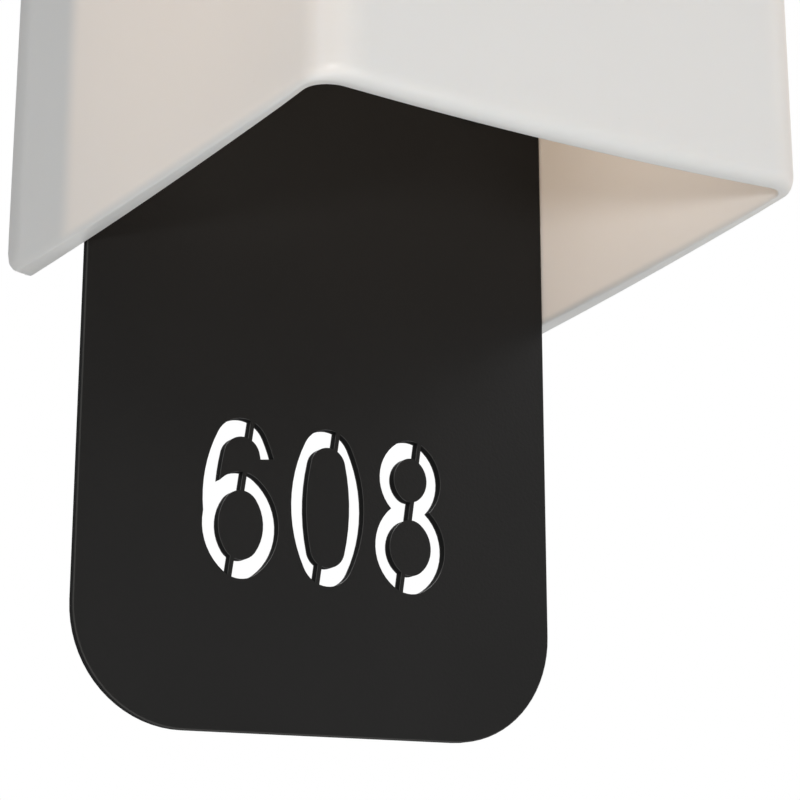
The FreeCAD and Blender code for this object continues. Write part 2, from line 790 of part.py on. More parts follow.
def rear_housing():
    """Deep-drawn box behind the plate, open towards the wall."""
    half_x, half_z = rule("housing_side"), rule("housing_top")
    depth = rule("housing_depth")
    shell = rounded_sheet("housing_block", half_x, half_z, PLATE_BACK, depth, rule("housing_corner"))
    in_x, in_z = rule("housing_side - sheet_metal"), rule("housing_top - sheet_metal")
    in_corner = rule("housing_corner - sheet_metal")
    hollow = rounded_sheet("housing_hollow", in_x, in_z, HOUSING_INSIDE, depth, in_corner)
    clear = rule("screw_shank + screw_gap")
    holes = [grommet_bore("housing_grommet_bore")]
    for x, z in plate_screw_places() + bracket_screw_places():
        holes.append(screw_hole(f"housing_hole_{len(holes)}", x, PLATE_FRONT, z))
    for side in SIDES:
        for x, y, z in hook_screw_places(side):
            start = (f"({x} - 4 * Sizes.sheet_metal)", y, z)
            holes.append(rod(f"housing_hole_{len(holes)}", "x", start, clear, rule("8 * sheet_metal")))
    for x, y, z in housing_screw_places():
        start = f"({x} - 2 * Sizes.sheet_metal)"
        holes.append(rod(f"housing_hole_{len(holes)}", "x", (start, y, z), clear, rule("4 * sheet_metal")))
    return minus("rear_housing", shell, hollow, *holes)


def wall_gasket():
    """Foam frame between the housing's open rim and the wall."""
    thick = rule("gasket_thick")
    front = rule("0 - gasket_thick")
    out_x, out_z = rule("housing_side + gasket_margin"), rule("housing_top + gasket_margin")
    outer = rounded_sheet("gasket_block", out_x, out_z, front, thick, rule("housing_corner + gasket_margin"))
    in_x = rule("housing_side - sheet_metal + fold_gap")
    in_z = rule("housing_top - sheet_metal + fold_gap")
    inner = rounded_sheet("gasket_hollow", in_x, in_z, front, thick, rule("housing_corner - sheet_metal"))
    return minus("wall_gasket", outer, inner)


def wall_plate():
    """Steel plate screwed to the wall box: two slots, a cable hole and two folded tabs for the housing."""
    half_x = rule("housing_side - sheet_metal - fold_gap")
    front = rule("0 - sheet_metal")
    blank = rounded_sheet("wall_sheet", half_x, rule("wall_plate_height / 2"), front, rule("sheet_metal"),
                           rule("wall_plate_corner"))
    tab_end = rule("0 - sheet_metal - tab_reach")
    tab_z = (rule("0 - tab_height / 2"), rule("tab_height / 2"))
    inner_x = rule("housing_side - 2 * sheet_metal - fold_gap")
    right = block("wall_tab_right", (inner_x, half_x), (tab_end, front), tab_z)
    left = block("wall_tab_left", (f"(0 - {half_x})", f"(0 - {inner_x})"), (tab_end, front), tab_z)
    holes = [rod("cable_hole", "y", ("0", rule("0 - 2 * sheet_metal"), "0"), rule("cable_hole"),
                 rule("3 * sheet_metal"))]
    slot_radius = rule("wall_slot_wide / 2")
    run = rule("wall_slot_long / 2 - wall_slot_wide / 2")
    for sign in (-1, 1):
        centre = f"({sign} * Sizes.wall_slot_spacing / 2)"
        ends = (f"({centre} - {run})", f"({centre} + {run})")
        for k, x in enumerate(ends):
            holes.append(rod(f"wall_slot_end_{sign + 1}_{k}", "y", (x, rule("0 - 2 * sheet_metal"), "0"),
                             slot_radius, rule("3 * sheet_metal")))
        holes.append(block(f"wall_slot_{sign + 1}", ends, (rule("0 - 2 * sheet_metal"), rule("sheet_metal")),
                           (f"-{slot_radius}", slot_radius)))
    for k, (x, y, z) in enumerate(housing_screw_places()):
        start = f"({x} - 4 * Sizes.sheet_metal)"
        holes.append(rod(f"tab_hole_{k}", "x", (start, y, z), rule("screw_shank + thread_gap"),
                         rule("8 * sheet_metal")))
    x, z = earth_place()
    holes.append(rod("earth_hole", "y", (x, rule("0 - 2 * sheet_metal"), z), rule("screw_shank + thread_gap"),
                     rule("3 * sheet_metal")))
    x, z = terminal_screw_place()
    holes.append(rod("terminal_hole", "y", (x, rule("0 - 2 * sheet_metal"), z),
                     rule("terminal_screw + thread_gap"), rule("3 * sheet_metal")))
    return minus("wall_plate", joined("wall_blank", blank, right, left), *holes)


def housing_screws():
    long = rule("3 * sheet_metal + fold_gap")
    places = housing_screw_places()
    screws = [pan_screw(f"housing_screw_{k}", "x", place, (-1, 1)[k], long) for k, place in enumerate(places)]
    return group("housing_screws", screws)


# ---------------------------------------------------------------- wiring


def grommet_bore(label):
    start = f"({PLATE_FRONT} - Sizes.sheet_metal)"
    return rod(label, "y", ("0", start, rule("grommet_level")), rule("grommet_hole"),
               rule("plate_thick + 4 * sheet_metal"))


def flex_grommet():
    """Rubber grommet that lines the hole through plate and housing front."""
    height = rule("grommet_level")
    long = rule("plate_thick + sheet_metal")
    lip = rule("grommet_lip")
    body = rod("grommet_body", "y", ("0", PLATE_FRONT, height), rule("grommet_hole - screw_gap / 2"), long)
    front = rod("grommet_front", "y", ("0", f"({PLATE_FRONT} - {lip})", height), rule("grommet_flange"), lip)
    back = rod("grommet_back", "y", ("0", HOUSING_INSIDE, height), rule("grommet_flange"), lip)
    outside = ("0", f"({PLATE_FRONT} - 2 * {lip})", height)
    bore = rod("grommet_bore", "y", outside, rule("flex_radius + flex_gap"), f"({long} + 4 * {lip})")
    return minus("flex_grommet", joined("grommet_blank", body, front, back), bore)


def cable_grommet():
    """Rubber inlet for the supply cable in the wall plate; its lip lies on the room side."""
    thick = rule("sheet_metal + grommet_lip")
    front = ("0", f"-{thick}", "0")
    body = rod("inlet_body", "y", front, rule("cable_hole - screw_gap / 2"), thick)
    lip = rod("inlet_lip", "y", front, rule("cable_hole + grommet_lip"), rule("grommet_lip"))
    bore = rod("inlet_bore", "y", ("0", f"-2 * {thick}", "0"), rule("cable_grommet_bore"), f"3 * {thick}")
    return minus("cable_grommet", joined("inlet_blank", body, lip), bore)


TERMINAL_LOW = rule("cable_hole + grommet_lip + terminal_lift")
TERMINAL_TOP = f"({TERMINAL_LOW} + Sizes.terminal_height)"
TERMINAL_FRONT = rule("0 - sheet_metal - terminal_thick")
TERMINAL_WAYS = (-1, 0, 1)
# Each way has two clamping screws, at these shares of the block's height.
CLAMP_SHARES = (0.25, 0.75)


def terminal_screw_place():
    return "0", f"({TERMINAL_LOW} + Sizes.terminal_height / 2)"


def terminal_block():
    """Three-way screw terminal on the wall plate, above the cable inlet."""
    half = rule("terminal_width / 2")
    solid = block("terminal_body", (f"-{half}", half), (TERMINAL_FRONT, rule("0 - sheet_metal")),
                  (TERMINAL_LOW, TERMINAL_TOP))
    holes = []
    middle_y = rule("0 - sheet_metal - terminal_wall")
    for k in TERMINAL_WAYS:
        x = f"({k} * Sizes.terminal_pitch)"
        if k:
            holes.append(rod(f"wire_bore_{k + 1}", "z", (x, middle_y, TERMINAL_LOW), rule("terminal_bore"),
                             rule("terminal_height")))
        for row, share in enumerate(CLAMP_SHARES):
            z = f"({TERMINAL_LOW} + {share} * Sizes.terminal_height)"
            holes.append(rod(f"screw_well_{k + 1}_{row}", "y", (x, TERMINAL_FRONT, z),
                             rule("terminal_screw + screw_gap"), rule("terminal_thick / 2")))
    x, z = terminal_screw_place()
    holes.append(rod("fixing_well", "y", (x, TERMINAL_FRONT, z), rule("terminal_screw + screw_gap"),
                     rule("terminal_thick")))
    return minus("terminal_block", solid, *holes)


def terminal_screws():
    """Six slotted clamping screws, sunk a little into their wells."""
    screws = []
    head = f"({TERMINAL_FRONT} + Sizes.terminal_screw_sunk)"
    slot_floor = f"({head} + Sizes.terminal_slot_deep)"
    half_long = rule("terminal_screw + screw_gap")
    half_wide = rule("terminal_slot_wide / 2")
    for k in TERMINAL_WAYS:
        for share in CLAMP_SHARES:
            x = f"({k} * Sizes.terminal_pitch)"
            z = f"({TERMINAL_LOW} + {share} * Sizes.terminal_height)"
            stem = rod(f"clamp_{len(screws)}_stem", "y", (x, head, z), rule("terminal_screw"),
                       rule("terminal_thick / 2 - 2 * terminal_screw_sunk"))
            slot = block(f"clamp_{len(screws)}_slot", (f"({x} - {half_long})", f"({x} + {half_long})"),
                         (head, slot_floor), (f"({z} - {half_wide})", f"({z} + {half_wide})"))
            screws.append(minus(f"clamp_{len(screws)}", stem, slot))
    return group("terminal_screws", screws)


def terminal_fixing():
    """The screw that holds the terminal block to the wall plate."""
    x, z = terminal_screw_place()
    head = f"({TERMINAL_FRONT} + Sizes.terminal_fixing_sunk)"
    long = rule("terminal_thick - terminal_fixing_sunk + sheet_metal")
    return rod("terminal_fixing", "y", (x, head, z), rule("terminal_screw"), long)


WASHER_FRONT = rule("0 - sheet_metal - washer_thick")


def earth_place():
    return rule("earth_screw_side"), rule("0 - earth_screw_drop")


def earth_screw():
    x, z = earth_place()
    return pan_screw("earth_screw", "y", (x, WASHER_FRONT, z), -1, rule("sheet_metal + washer_thick"))


def earth_washer():
    x, z = earth_place()
    thick = rule("washer_thick")
    disc = rod("earth_washer_disc", "y", (x, WASHER_FRONT, z), rule("screw_head + washer_thick"), thick)
    bore = rod("earth_washer_bore", "y", (x, WASHER_FRONT, z), rule("screw_shank + screw_gap"), thick)
    return minus("earth_washer", disc, bore)


# Each bend of the flex takes up this share of the shorter run beside it.
ARC_SHARE = 0.45


def tube(label, points, radius):
    """A tube along straight runs joined by arcs as large as the runs allow."""
    points = [FreeCAD.Vector(*p) for p in points]
    edges = []
    start = points[0]
    for before, corner, after in zip(points, points[1:], points[2:]):
        run_in, run_out = corner - before, after - corner
        half_turn = run_in.getAngle(run_out) / 2
        setback = ARC_SHARE * min(run_in.Length, run_out.Length)
        arc_in = corner - run_in * (setback / run_in.Length)
        arc_out = corner + run_out * (setback / run_out.Length)
        bend = setback / math.tan(half_turn)
        inward = (arc_in + arc_out) * 0.5 - corner
        middle = corner + inward * ((bend / math.cos(half_turn) - bend) / inward.Length)
        edges.append(Part.LineSegment(start, arc_in).toShape())
        edges.append(Part.Arc(arc_in, middle, arc_out).toShape())
        start = arc_out
        print(f"{label}: bend radius {bend:.1f} mm")
    edges.append(Part.LineSegment(start, points[-1]).toShape())
    path = Part.Wire(edges)
    section = Part.Wire([Part.makeCircle(radius, points[0], points[1] - points[0])])
    solid = path.makePipeShell([section], True, False)
    expected = math.pi * radius**2 * path.Length
    print(f"{label}: volume {solid.Volume:.1f}, section times length {expected:.1f}")
    thing = named("Part::Feature", label)
    thing.Shape = solid
    return thing


def lamp_flex():
    """Round flex from the terminal block, through the grommet and up into the lampholder's cap."""
    y = value(TERMINAL_FRONT) + SIZE["terminal_thick"] / 2
    height = value(rule("grommet_level"))
    outside_y = value(PLATE_FRONT) - SIZE["grommet_lip"] - SIZE["flex_slack"]
    cap_y = value(LAMP_Y) + SIZE["holder_cap_radius"] - 2 * SIZE["holder_wall"]
    points = [
        (0, y, value(TERMINAL_TOP)),
        (0, y, height),
        (0, outside_y, height),
        (0, cap_y, value(FLEX_ENTRY)),
    ]
    return tube("lamp_flex", points, SIZE["flex_radius"])


# ---------------------------------------------------------------- lamp bracket and holder

CAP_LOW = rule("bracket_level - sheet_metal - holder_cap_height")
FLEX_ENTRY = rule("bracket_level - sheet_metal - holder_cap_height / 2")
BODY_LOW = rule("bracket_level - sheet_metal - holder_cap_height - holder_height")
INSERT_TOP = rule("bracket_level - sheet_metal - holder_cap_height - holder_wall")
INSERT_LOW = rule("bracket_level - sheet_metal - holder_cap_height - holder_wall - insert_thick")


def lamp_bracket():
    """Folded strip: one leg on the plate, the other reaching forward over the lampholder."""
    body = body_named("bracket_body")
    back = PLATE_FRONT
    front = f"({LAMP_Y} - Sizes.bracket_nose)"
    low = rule("bracket_level - bracket_leg")
    inner = f"({back} - Sizes.sheet_metal)"
    corners = [
        (back, low),
        (back, BRACKET_TOP),
        (front, BRACKET_TOP),
        (front, BRACKET_LOW),
        (inner, BRACKET_LOW),
        (inner, low),
    ]
    profile = outline(body, "YZ_Plane", "bracket_profile", corners, offset=rule("0 - bracket_width / 2"))
    strip = pad(body, profile, "bracket_strip", rule("bracket_width"))
    outside, inside = value(back), value(inner)
    top, under = value(BRACKET_TOP), value(BRACKET_LOW)
    bend = rounded(
        body,
        strip,
        "bracket_bend_outside",
        rule("bracket_bend + sheet_metal"),
        lambda e: runs_along(e, "x") and level(e, "Y", outside) and level(e, "Z", top),
    )
    fold = rounded(
        body,
        bend,
        "bracket_bend_inside",
        rule("bracket_bend"),
        lambda e: runs_along(e, "x") and level(e, "Y", inside) and level(e, "Z", under),
    )
    nose = value(front)
    rounded(
        body,
        fold,
        "bracket_nose_round",
        rule("bracket_nose / 2"),
        lambda e: runs_along(e, "z") and level(e, "Y", nose),
    )
    in_front = ("0", f"({PLATE_FRONT} - 2 * Sizes.sheet_metal)", rule("grommet_level"))
    window = rod("bracket_window", "y", in_front, rule("grommet_flange + hole_gap"), rule("4 * sheet_metal"))
    nipple = rod("bracket_nipple_hole", "z", ("0", LAMP_Y, rule("bracket_level - 2 * sheet_metal")),
                 rule("nipple_radius + screw_gap"), rule("3 * sheet_metal"))
    holes = []
    for x, z in bracket_screw_places():
        holes.append(screw_hole(f"bracket_hole_{len(holes)}", x, PLATE_FRONT, z))
    return minus("lamp_bracket", body, window, nipple, *holes)


NIPPLE_LOW = rule("bracket_level - sheet_metal - nipple_long / 2 + nipple_nut_thick / 2")


def nipple():
    """Short threaded tube that ties the lampholder's cap to the bracket."""
    place = ("0", LAMP_Y, NIPPLE_LOW)
    solid = rod("nipple_rod", "z", place, rule("nipple_radius"), rule("nipple_long"))
    bore = rod("nipple_bore", "z", place, rule("nipple_bore"), rule("nipple_long"))
    return minus("nipple", solid, bore)


def nipple_nut():
    nut = at(prism("nipple_nut_blank", "nipple_nut_across", "nipple_nut_thick"), "0", LAMP_Y, BRACKET_TOP)
    bore = rod("nipple_nut_bore", "z", ("0", LAMP_Y, BRACKET_TOP), rule("nipple_radius + thread_gap"),
               rule("nipple_nut_thick"))
    return minus("nipple_nut", nut, bore)


def turned(label, profile):
    """A body of revolution about the lamp's axis; profile lists pairs of expressions for radius and level."""
    body = body_named(label)
    sketch = outline(body, "XZ_Plane", label + "_profile", profile, offset=f"-{LAMP_Y}")
    spin = body.newObject("PartDesign::Revolution", label + "_turn")
    spin.Profile = sketch
    spin.ReferenceAxis = (sketch, ["V_Axis"])
    spin.Angle = 360
    doc.recompute()
    return body


def holder_cap():
    """Cap of the lampholder, with a rounded shoulder, a nipple hole and a side entry for the flex."""
    outer = rule("holder_cap_radius")
    inner = rule("holder_cap_radius - holder_wall")
    hole = rule("nipple_radius + thread_gap")
    roof = rule("bracket_level - sheet_metal - holder_wall")
    shell = turned("cap_shell", [
        (inner, CAP_LOW), (outer, CAP_LOW), (outer, roof), (inner, BRACKET_LOW),
        (hole, BRACKET_LOW), (hole, roof), (inner, roof)])
    entry = rod("cap_entry", "y", ("0", LAMP_Y, f"({FLEX_ENTRY} - Sizes.flex_gap)"),
                rule("flex_radius + 2 * flex_gap"), rule("2 * holder_cap_radius"))
    return minus("holder_cap", shell, entry)


def holder_body():
    """Skirted body of the lampholder, open below."""
    outer = rule("holder_radius")
    inner = rule("holder_radius - holder_wall")
    hole = rule("nipple_radius")
    return turned("holder_body", [
        (inner, BODY_LOW), (outer, BODY_LOW), (outer, f"({CAP_LOW} - Sizes.holder_shoulder)"),
        (rule("holder_cap_radius"), CAP_LOW), (hole, CAP_LOW), (hole, INSERT_TOP), (inner, INSERT_TOP)])


def holder_insert():
    """Ceramic disc that carries the threaded shell and the centre contact."""
    outer = rule("holder_radius - holder_wall - screw_gap")
    hole = rule("nipple_bore / 2")
    return turned("holder_insert", [
        (hole, INSERT_LOW), (outer, INSERT_LOW), (outer, INSERT_TOP), (hole, INSERT_TOP)])


def holder_shell():
    outer = rule("shell_radius")
    inner = rule("shell_radius - shell_wall")
    low = f"({INSERT_LOW} - Sizes.shell_long)"
    return turned("holder_shell", [(inner, low), (outer, low), (outer, INSERT_LOW), (inner, INSERT_LOW)])


CONTACT_LOW = f"({INSERT_LOW} - Sizes.contact_drop)"


def centre_contact():
    """Spring strip under the insert with a dimple that meets the lamp's contact."""
    half_wide = rule("contact_wide / 2")
    strip = block("contact_strip", (rule("0 - contact_long / 2"), rule("contact_long / 2")),
                  (f"({LAMP_Y} - {half_wide})", f"({LAMP_Y} + {half_wide})"),
                  (f"({INSERT_LOW} - Sizes.contact_sheet)", INSERT_LOW))
    dimple = rod("contact_dimple", "z", ("0", LAMP_Y, CONTACT_LOW), rule("contact_wide / 2 - contact_sheet"),
                 rule("contact_drop - contact_sheet / 2"))
    return joined("centre_contact", strip, dimple)


# ---------------------------------------------------------------- screw-in lamp

LAMP_TOP = f"({CONTACT_LOW} - Sizes.lamp_gap)"
LAMP_CAP_TOP = f"({LAMP_TOP} - Sizes.lamp_contact_thick - Sizes.lamp_insulator)"
LAMP_CAP_LOW = f"({LAMP_CAP_TOP} - Sizes.lamp_cap_long)"
LAMP_CAP_RADIUS = rule("shell_radius - shell_wall - lamp_gap")
GLOBE_MIDDLE = f"({LAMP_TOP} - Sizes.lamp_long + Sizes.globe_radius)"
GLOBE_MOUTH = f"({GLOBE_MIDDLE} + sqrt(Sizes.globe_radius ^ 2 - Sizes.lamp_collar_radius ^ 2))"


def lamp_contact():
    place = ("0", LAMP_Y, f"({LAMP_TOP} - Sizes.lamp_contact_thick)")
    return rod("lamp_contact", "z", place, rule("lamp_contact_radius"), rule("lamp_contact_thick"))


def lamp_insulator():
    """Black glass cone between the lamp's contact and its screw cap."""
    high = f"({LAMP_CAP_TOP} + Sizes.lamp_insulator)"
    foot = f"({LAMP_CAP_RADIUS} - Sizes.lamp_cap_chamfer - Sizes.lamp_cap_wall)"
    return turned("lamp_insulator", [
        ("0", LAMP_CAP_TOP), (foot, LAMP_CAP_TOP), (rule("lamp_contact_radius"), high), ("0", high)])


def lamp_cap():
    """Thin metal screw cap, closed on top."""
    wall, slant = "Sizes.lamp_cap_wall", "Sizes.lamp_cap_chamfer"
    outer = LAMP_CAP_RADIUS
    inner = f"({outer} - {wall})"
    roof = f"({LAMP_CAP_TOP} - {wall})"
    return turned("lamp_cap", [
        (inner, LAMP_CAP_LOW), (outer, LAMP_CAP_LOW), (outer, f"({LAMP_CAP_TOP} - {slant})"),
        (f"({outer} - {slant})", LAMP_CAP_TOP), ("0", LAMP_CAP_TOP), ("0", roof),
        (f"({inner} - {slant})", roof), (inner, f"({roof} - {slant})")])


def lamp_collar():
    """Tapered plastic neck between the screw cap and the globe."""
    tongue = f"({LAMP_CAP_RADIUS} - Sizes.lamp_cap_wall - Sizes.thread_gap)"
    tip = f"({LAMP_CAP_LOW} + Sizes.lamp_tongue)"
    return turned("lamp_collar", [
        ("0", GLOBE_MOUTH), (rule("lamp_collar_radius"), GLOBE_MOUTH), (LAMP_CAP_RADIUS, LAMP_CAP_LOW),
        (tongue, LAMP_CAP_LOW), (tongue, tip), ("0", tip)])


def lamp_globe():
    """Opal globe, a thin ball open where the neck enters it."""
    ball = named("Part::Sphere", "globe_ball")
    bind(ball, Radius=rule("globe_radius"))
    at(ball, "0", LAMP_Y, GLOBE_MIDDLE)
    hollow = named("Part::Sphere", "globe_hollow")
    bind(hollow, Radius=rule("globe_radius - lamp_cap_wall"))
    at(hollow, "0", LAMP_Y, GLOBE_MIDDLE)
    mouth = rod("globe_mouth", "z", ("0", LAMP_Y, GLOBE_MOUTH), rule("globe_radius"), rule("globe_radius"))
    return minus("lamp_globe", ball, hollow, mouth)


# ---------------------------------------------------------------- build, check and write


def build():
    nodes = [number_plate(), plate_screws(), opal_shade()]
    nodes += [inner_pads(), outer_pads(), clamp_nuts()]
    for side in SIDES:
        nodes += [thumb_screw(side), shade_hook(side)]
    nodes += [hook_screws(), rear_housing(), wall_gasket(), wall_plate(), housing_screws()]
    nodes += [cable_grommet(), terminal_block(), terminal_screws(), terminal_fixing()]
    nodes += [earth_screw(), earth_washer(), lamp_flex(), flex_grommet()]
    nodes += [lamp_bracket(), bracket_screws(), nipple(), nipple_nut()]
    nodes += [holder_cap(), holder_body(), holder_insert(), holder_shell(), centre_contact()]
    nodes += [lamp_contact(), lamp_insulator(), lamp_cap(), lamp_collar(), lamp_globe()]
    doc.recompute()
    return nodes


def check(nodes):
    for thing in doc.Objects:
        if "Invalid" in thing.State or "Error" in thing.State:
            raise RuntimeError(f"{thing.Label} failed: {thing.State}")
    for node in nodes:
        if node.Shape.isNull() or not node.Shape.isValid() or not node.Shape.Solids:
            raise RuntimeError(f"{node.Label} has no valid solid")


def write(nodes):
    os.makedirs("parts", exist_ok=True)
    for node in nodes:
        node.Shape.exportStep(os.path.join("parts", node.Label + ".step"))
        box = node.Shape.BoundBox
        print(f"{node.Label:22s} {len(node.Shape.Solids)} solids, {node.Shape.Volume:10.1f} mm3, "
              f"x {box.XMin:.1f} to {box.XMax:.1f}, y {box.YMin:.1f} to {box.YMax:.1f}, "
              f"z {box.ZMin:.1f} to {box.ZMax:.1f}")


NODES = build()
check(NODES)
write(NODES)
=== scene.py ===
import json
import math

import bmesh
import bpy
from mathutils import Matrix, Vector


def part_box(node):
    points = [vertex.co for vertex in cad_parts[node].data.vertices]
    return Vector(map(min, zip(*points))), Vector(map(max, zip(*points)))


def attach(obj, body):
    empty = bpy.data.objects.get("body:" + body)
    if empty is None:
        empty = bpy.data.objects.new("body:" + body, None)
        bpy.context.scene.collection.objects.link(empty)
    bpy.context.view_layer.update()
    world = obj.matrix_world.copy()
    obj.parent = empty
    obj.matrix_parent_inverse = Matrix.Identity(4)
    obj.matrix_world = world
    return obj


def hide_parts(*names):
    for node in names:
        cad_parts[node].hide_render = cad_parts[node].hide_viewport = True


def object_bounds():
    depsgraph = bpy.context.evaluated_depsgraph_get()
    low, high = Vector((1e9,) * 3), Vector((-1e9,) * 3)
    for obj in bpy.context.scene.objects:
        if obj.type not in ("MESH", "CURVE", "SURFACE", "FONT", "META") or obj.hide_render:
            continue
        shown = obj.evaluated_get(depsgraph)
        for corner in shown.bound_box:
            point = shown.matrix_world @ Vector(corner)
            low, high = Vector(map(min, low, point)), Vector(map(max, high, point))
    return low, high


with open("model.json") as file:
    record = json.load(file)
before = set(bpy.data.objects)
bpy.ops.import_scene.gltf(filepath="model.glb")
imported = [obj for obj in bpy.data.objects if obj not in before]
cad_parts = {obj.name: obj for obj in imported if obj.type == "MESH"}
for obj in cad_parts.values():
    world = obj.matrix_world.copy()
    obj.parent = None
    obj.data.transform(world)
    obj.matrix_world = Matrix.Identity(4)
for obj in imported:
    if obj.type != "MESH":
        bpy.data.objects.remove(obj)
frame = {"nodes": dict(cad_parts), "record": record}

# The looks of a lit house number sign: opal shade, cut black plate and the fittings behind them.
# Metres, in the part's own frame: +Z up, the wall is the plane y = 0, the front faces -Y.

CAD_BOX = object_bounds()


# ---------------------------------------------------------------- places read from the frame

MM = 0.001
GLOBE_LOW, GLOBE_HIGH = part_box("lamp_globe")
GLOBE_MIDDLE = (GLOBE_LOW + GLOBE_HIGH) / 2
PLATE_FRONT, PLATE_BACK = (corner.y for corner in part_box("number_plate"))
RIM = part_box("shade")[0].z


# ---------------------------------------------------------------- shader maths


class Field:
    """A socket that takes part in sums: each operator adds the Math node that works it out."""

    def __init__(self, paint, socket):
        self.paint = paint
        self.socket = socket

    def maths(self, operation, *others):
        return self.paint.node("Math", {"operation": operation}, dict(enumerate((self, *others))))

    def __add__(self, other):
        return self.maths("ADD", other)

    def __sub__(self, other):
        return self.maths("SUBTRACT", other)

    def __mul__(self, other):
        return self.maths("MULTIPLY", other)

    def __rsub__(self, other):
        return self * -1 + other

    __radd__ = __add__
    __rmul__ = __mul__

    def absolute(self):
        return self.maths("ABSOLUTE")

    def most(self, other):
        return self.maths("MAXIMUM", other)

    def sine(self):
        return self.maths("SINE")

    def between(self, low, high):
        """0 below low, 1 above high, and a smooth step from one to the other."""
        settings = {"interpolation_type": "SMOOTHSTEP", "clamp": True}
        return self.paint.node("MapRange", settings, {"Value": self, "From Min": low, "From Max": high})


class Paint:
    """The node tree of a material or of the world, with one method that adds any node."""

    def __init__(self, owner):
        owner.use_nodes = True
        self.tree = owner.node_tree
        self.tree.nodes.clear()

    def node(self, kind, settings=None, sockets=None, output=0):
        made = self.tree.nodes.new("ShaderNode" + kind)
        for name, setting in (settings or {}).items():
            setattr(made, name, setting)
        for name, given in (sockets or {}).items():
            if isinstance(given, Field):
                self.tree.links.new(given.socket, made.inputs[name])
            else:
                made.inputs[name].default_value = given
        return Field(self, made.outputs[output]) if made.outputs else made

    def place(self):
        """The point on the piece in the part's own frame."""
        return self.node("TexCoord", output="Object")

    def along(self, axis):
        return self.node("SeparateXYZ", sockets={0: self.place()}, output=axis)

    def noise(self, scale, detail=2.0, place=None):
        """Soft random patches from 0 to 1; scale is the number of patches to the metre."""
        sockets = {"Vector": place or self.place(), "Scale": scale, "Detail": detail, "Roughness": 0.5}
        return self.node("TexNoise", sockets=sockets)

    def stretched(self, x, y, z):
        """The place with each direction scaled, for grain that runs one way."""
        return self.node("VectorMath", {"operation": "MULTIPLY"}, {0: self.place(), 1: (x, y, z)})

    def cells(self, scale, output="Distance"):
        """Scattered cells: how far each point is from its cell's middle, or the cell's own colour."""
        return self.node("TexVoronoi", {"feature": "F1"}, {"Vector": self.place(), "Scale": scale}, output)

    def blend(self, share, first, second):
        """A colour between two colours."""
        sockets = {0: share, 6: as_colour(first), 7: as_colour(second)}
        return self.node("Mix", {"data_type": "RGBA"}, sockets, output=2)

    def bump(self, height, distance, strength):
        return self.node("Bump", sockets={"Height": height, "Distance": distance, "Strength": strength})

    def finish(self, sockets):
        """The principled surface that the material ends in."""
        surface = self.node("BsdfPrincipled", sockets=sockets)
        self.node("OutputMaterial", sockets={"Surface": surface})


def as_colour(colour):
    return colour if isinstance(colour, Field) else (*colour, 1.0)


def scaled(colour, share):
    return tuple(part * share for part in colour)


def new_paint(name):
    material = bpy.data.materials.new(name)
    return material, Paint(material)


# ---------------------------------------------------------------- finishes

# The middle of the side walls' thickness: how far out it is at the wall, in metres, and how much it leans.
WALL_MIDDLE, WALL_FLARE = 0.08944, 0.0768


def opal_finish(name):
    """Satin opal: near white with a few dust specks, and painted lamp light: a warm emission in front of the
    plate, where the lamp shines through the shade.
    """
    material, paint = new_paint(name)
    width, y = paint.along("X").absolute(), paint.along("Y")
    cloud = paint.noise(9, 3)
    body = paint.blend(cloud, (0.78, 0.78, 0.77), (0.82, 0.815, 0.80))
    speck = 1 - paint.cells(85).between(0.008, 0.02)
    rare = paint.noise(31, 0).between(0.60, 0.66)
    body = paint.blend(speck * rare * 0.35, body, (0.45, 0.40, 0.34))
    # Painted lamp light: a warm emission that fades with distance from the globe, is stronger on the side
    # walls, and stops behind the plate (painted shade) and at the rim's lip.
    in_front = 1 - y.between(PLATE_FRONT - 0.004, PLATE_FRONT + 0.008)
    reach = paint.node("VectorMath", {"operation": "DISTANCE"}, {0: paint.place(), 1: GLOBE_MIDDLE}, "Value")
    near = 1 - reach.between(0.06, 0.23)
    side_wall = width.between(0.062, 0.0765) * 0.8 + 0.2
    above_lip = paint.along("Z").between(RIM - 0.001, RIM + 0.002)
    # Painted lamp light on the inner face of the side walls: stronger, most towards the plate, and paler near
    # the rim.
    past_middle = width - y * WALL_FLARE - WALL_MIDDLE
    inner_face = (1 - past_middle.between(-0.0005, 0.0005)) * y.between(-0.1855, -0.1835)
    painted_inner_glow = inner_face * (y.between(-0.12, -0.055) * 0.22 + 0.07)
    paler_below = inner_face * (1 - paint.along("Z").between(RIM, RIM + 0.07))
    painted_glow_tint = paint.blend(paler_below, (0.205, 0.143, 0.093), (0.205, 0.155, 0.118))
    painted_lamp_glow = paint.blend((near * side_wall + painted_inner_glow) * in_front * above_lip, (0.0, 0.0, 0.0), painted_glow_tint)
    paint.finish(
        {
            "Base Color": body,
            "Roughness": paint.noise(40, 2) * 0.10 + 0.34,
            "Specular IOR Level": 0.4,
            "Subsurface Weight": 0.12,
            "Subsurface Radius": (0.006, 0.005, 0.004),
            "Subsurface Scale": 1.0,
            "Emission Color": painted_lamp_glow,
            "Emission Strength": 1.0,
            "Normal": paint.bump(paint.noise(14, 1) + paint.noise(420, 2) * 0.03, 0.0012, 0.25),
        }
    )
    return material


def powder_coat(name, colour, roughness=0.42, peel=0.00012):
    """Satin powder coat: even colour, fine orange peel."""
    material, paint = new_paint(name)
    skin = paint.noise(900, 2)
    paint.finish(
        {
            "Base Color": paint.blend(paint.noise(18, 3), scaled(colour, 0.75), scaled(colour, 1.25)),
            "Roughness": roughness + skin * 0.06 - 0.03,
            "Specular IOR Level": 0.3,
            "Normal": paint.bump(skin, peel, 0.6),
        }
    )
    return material


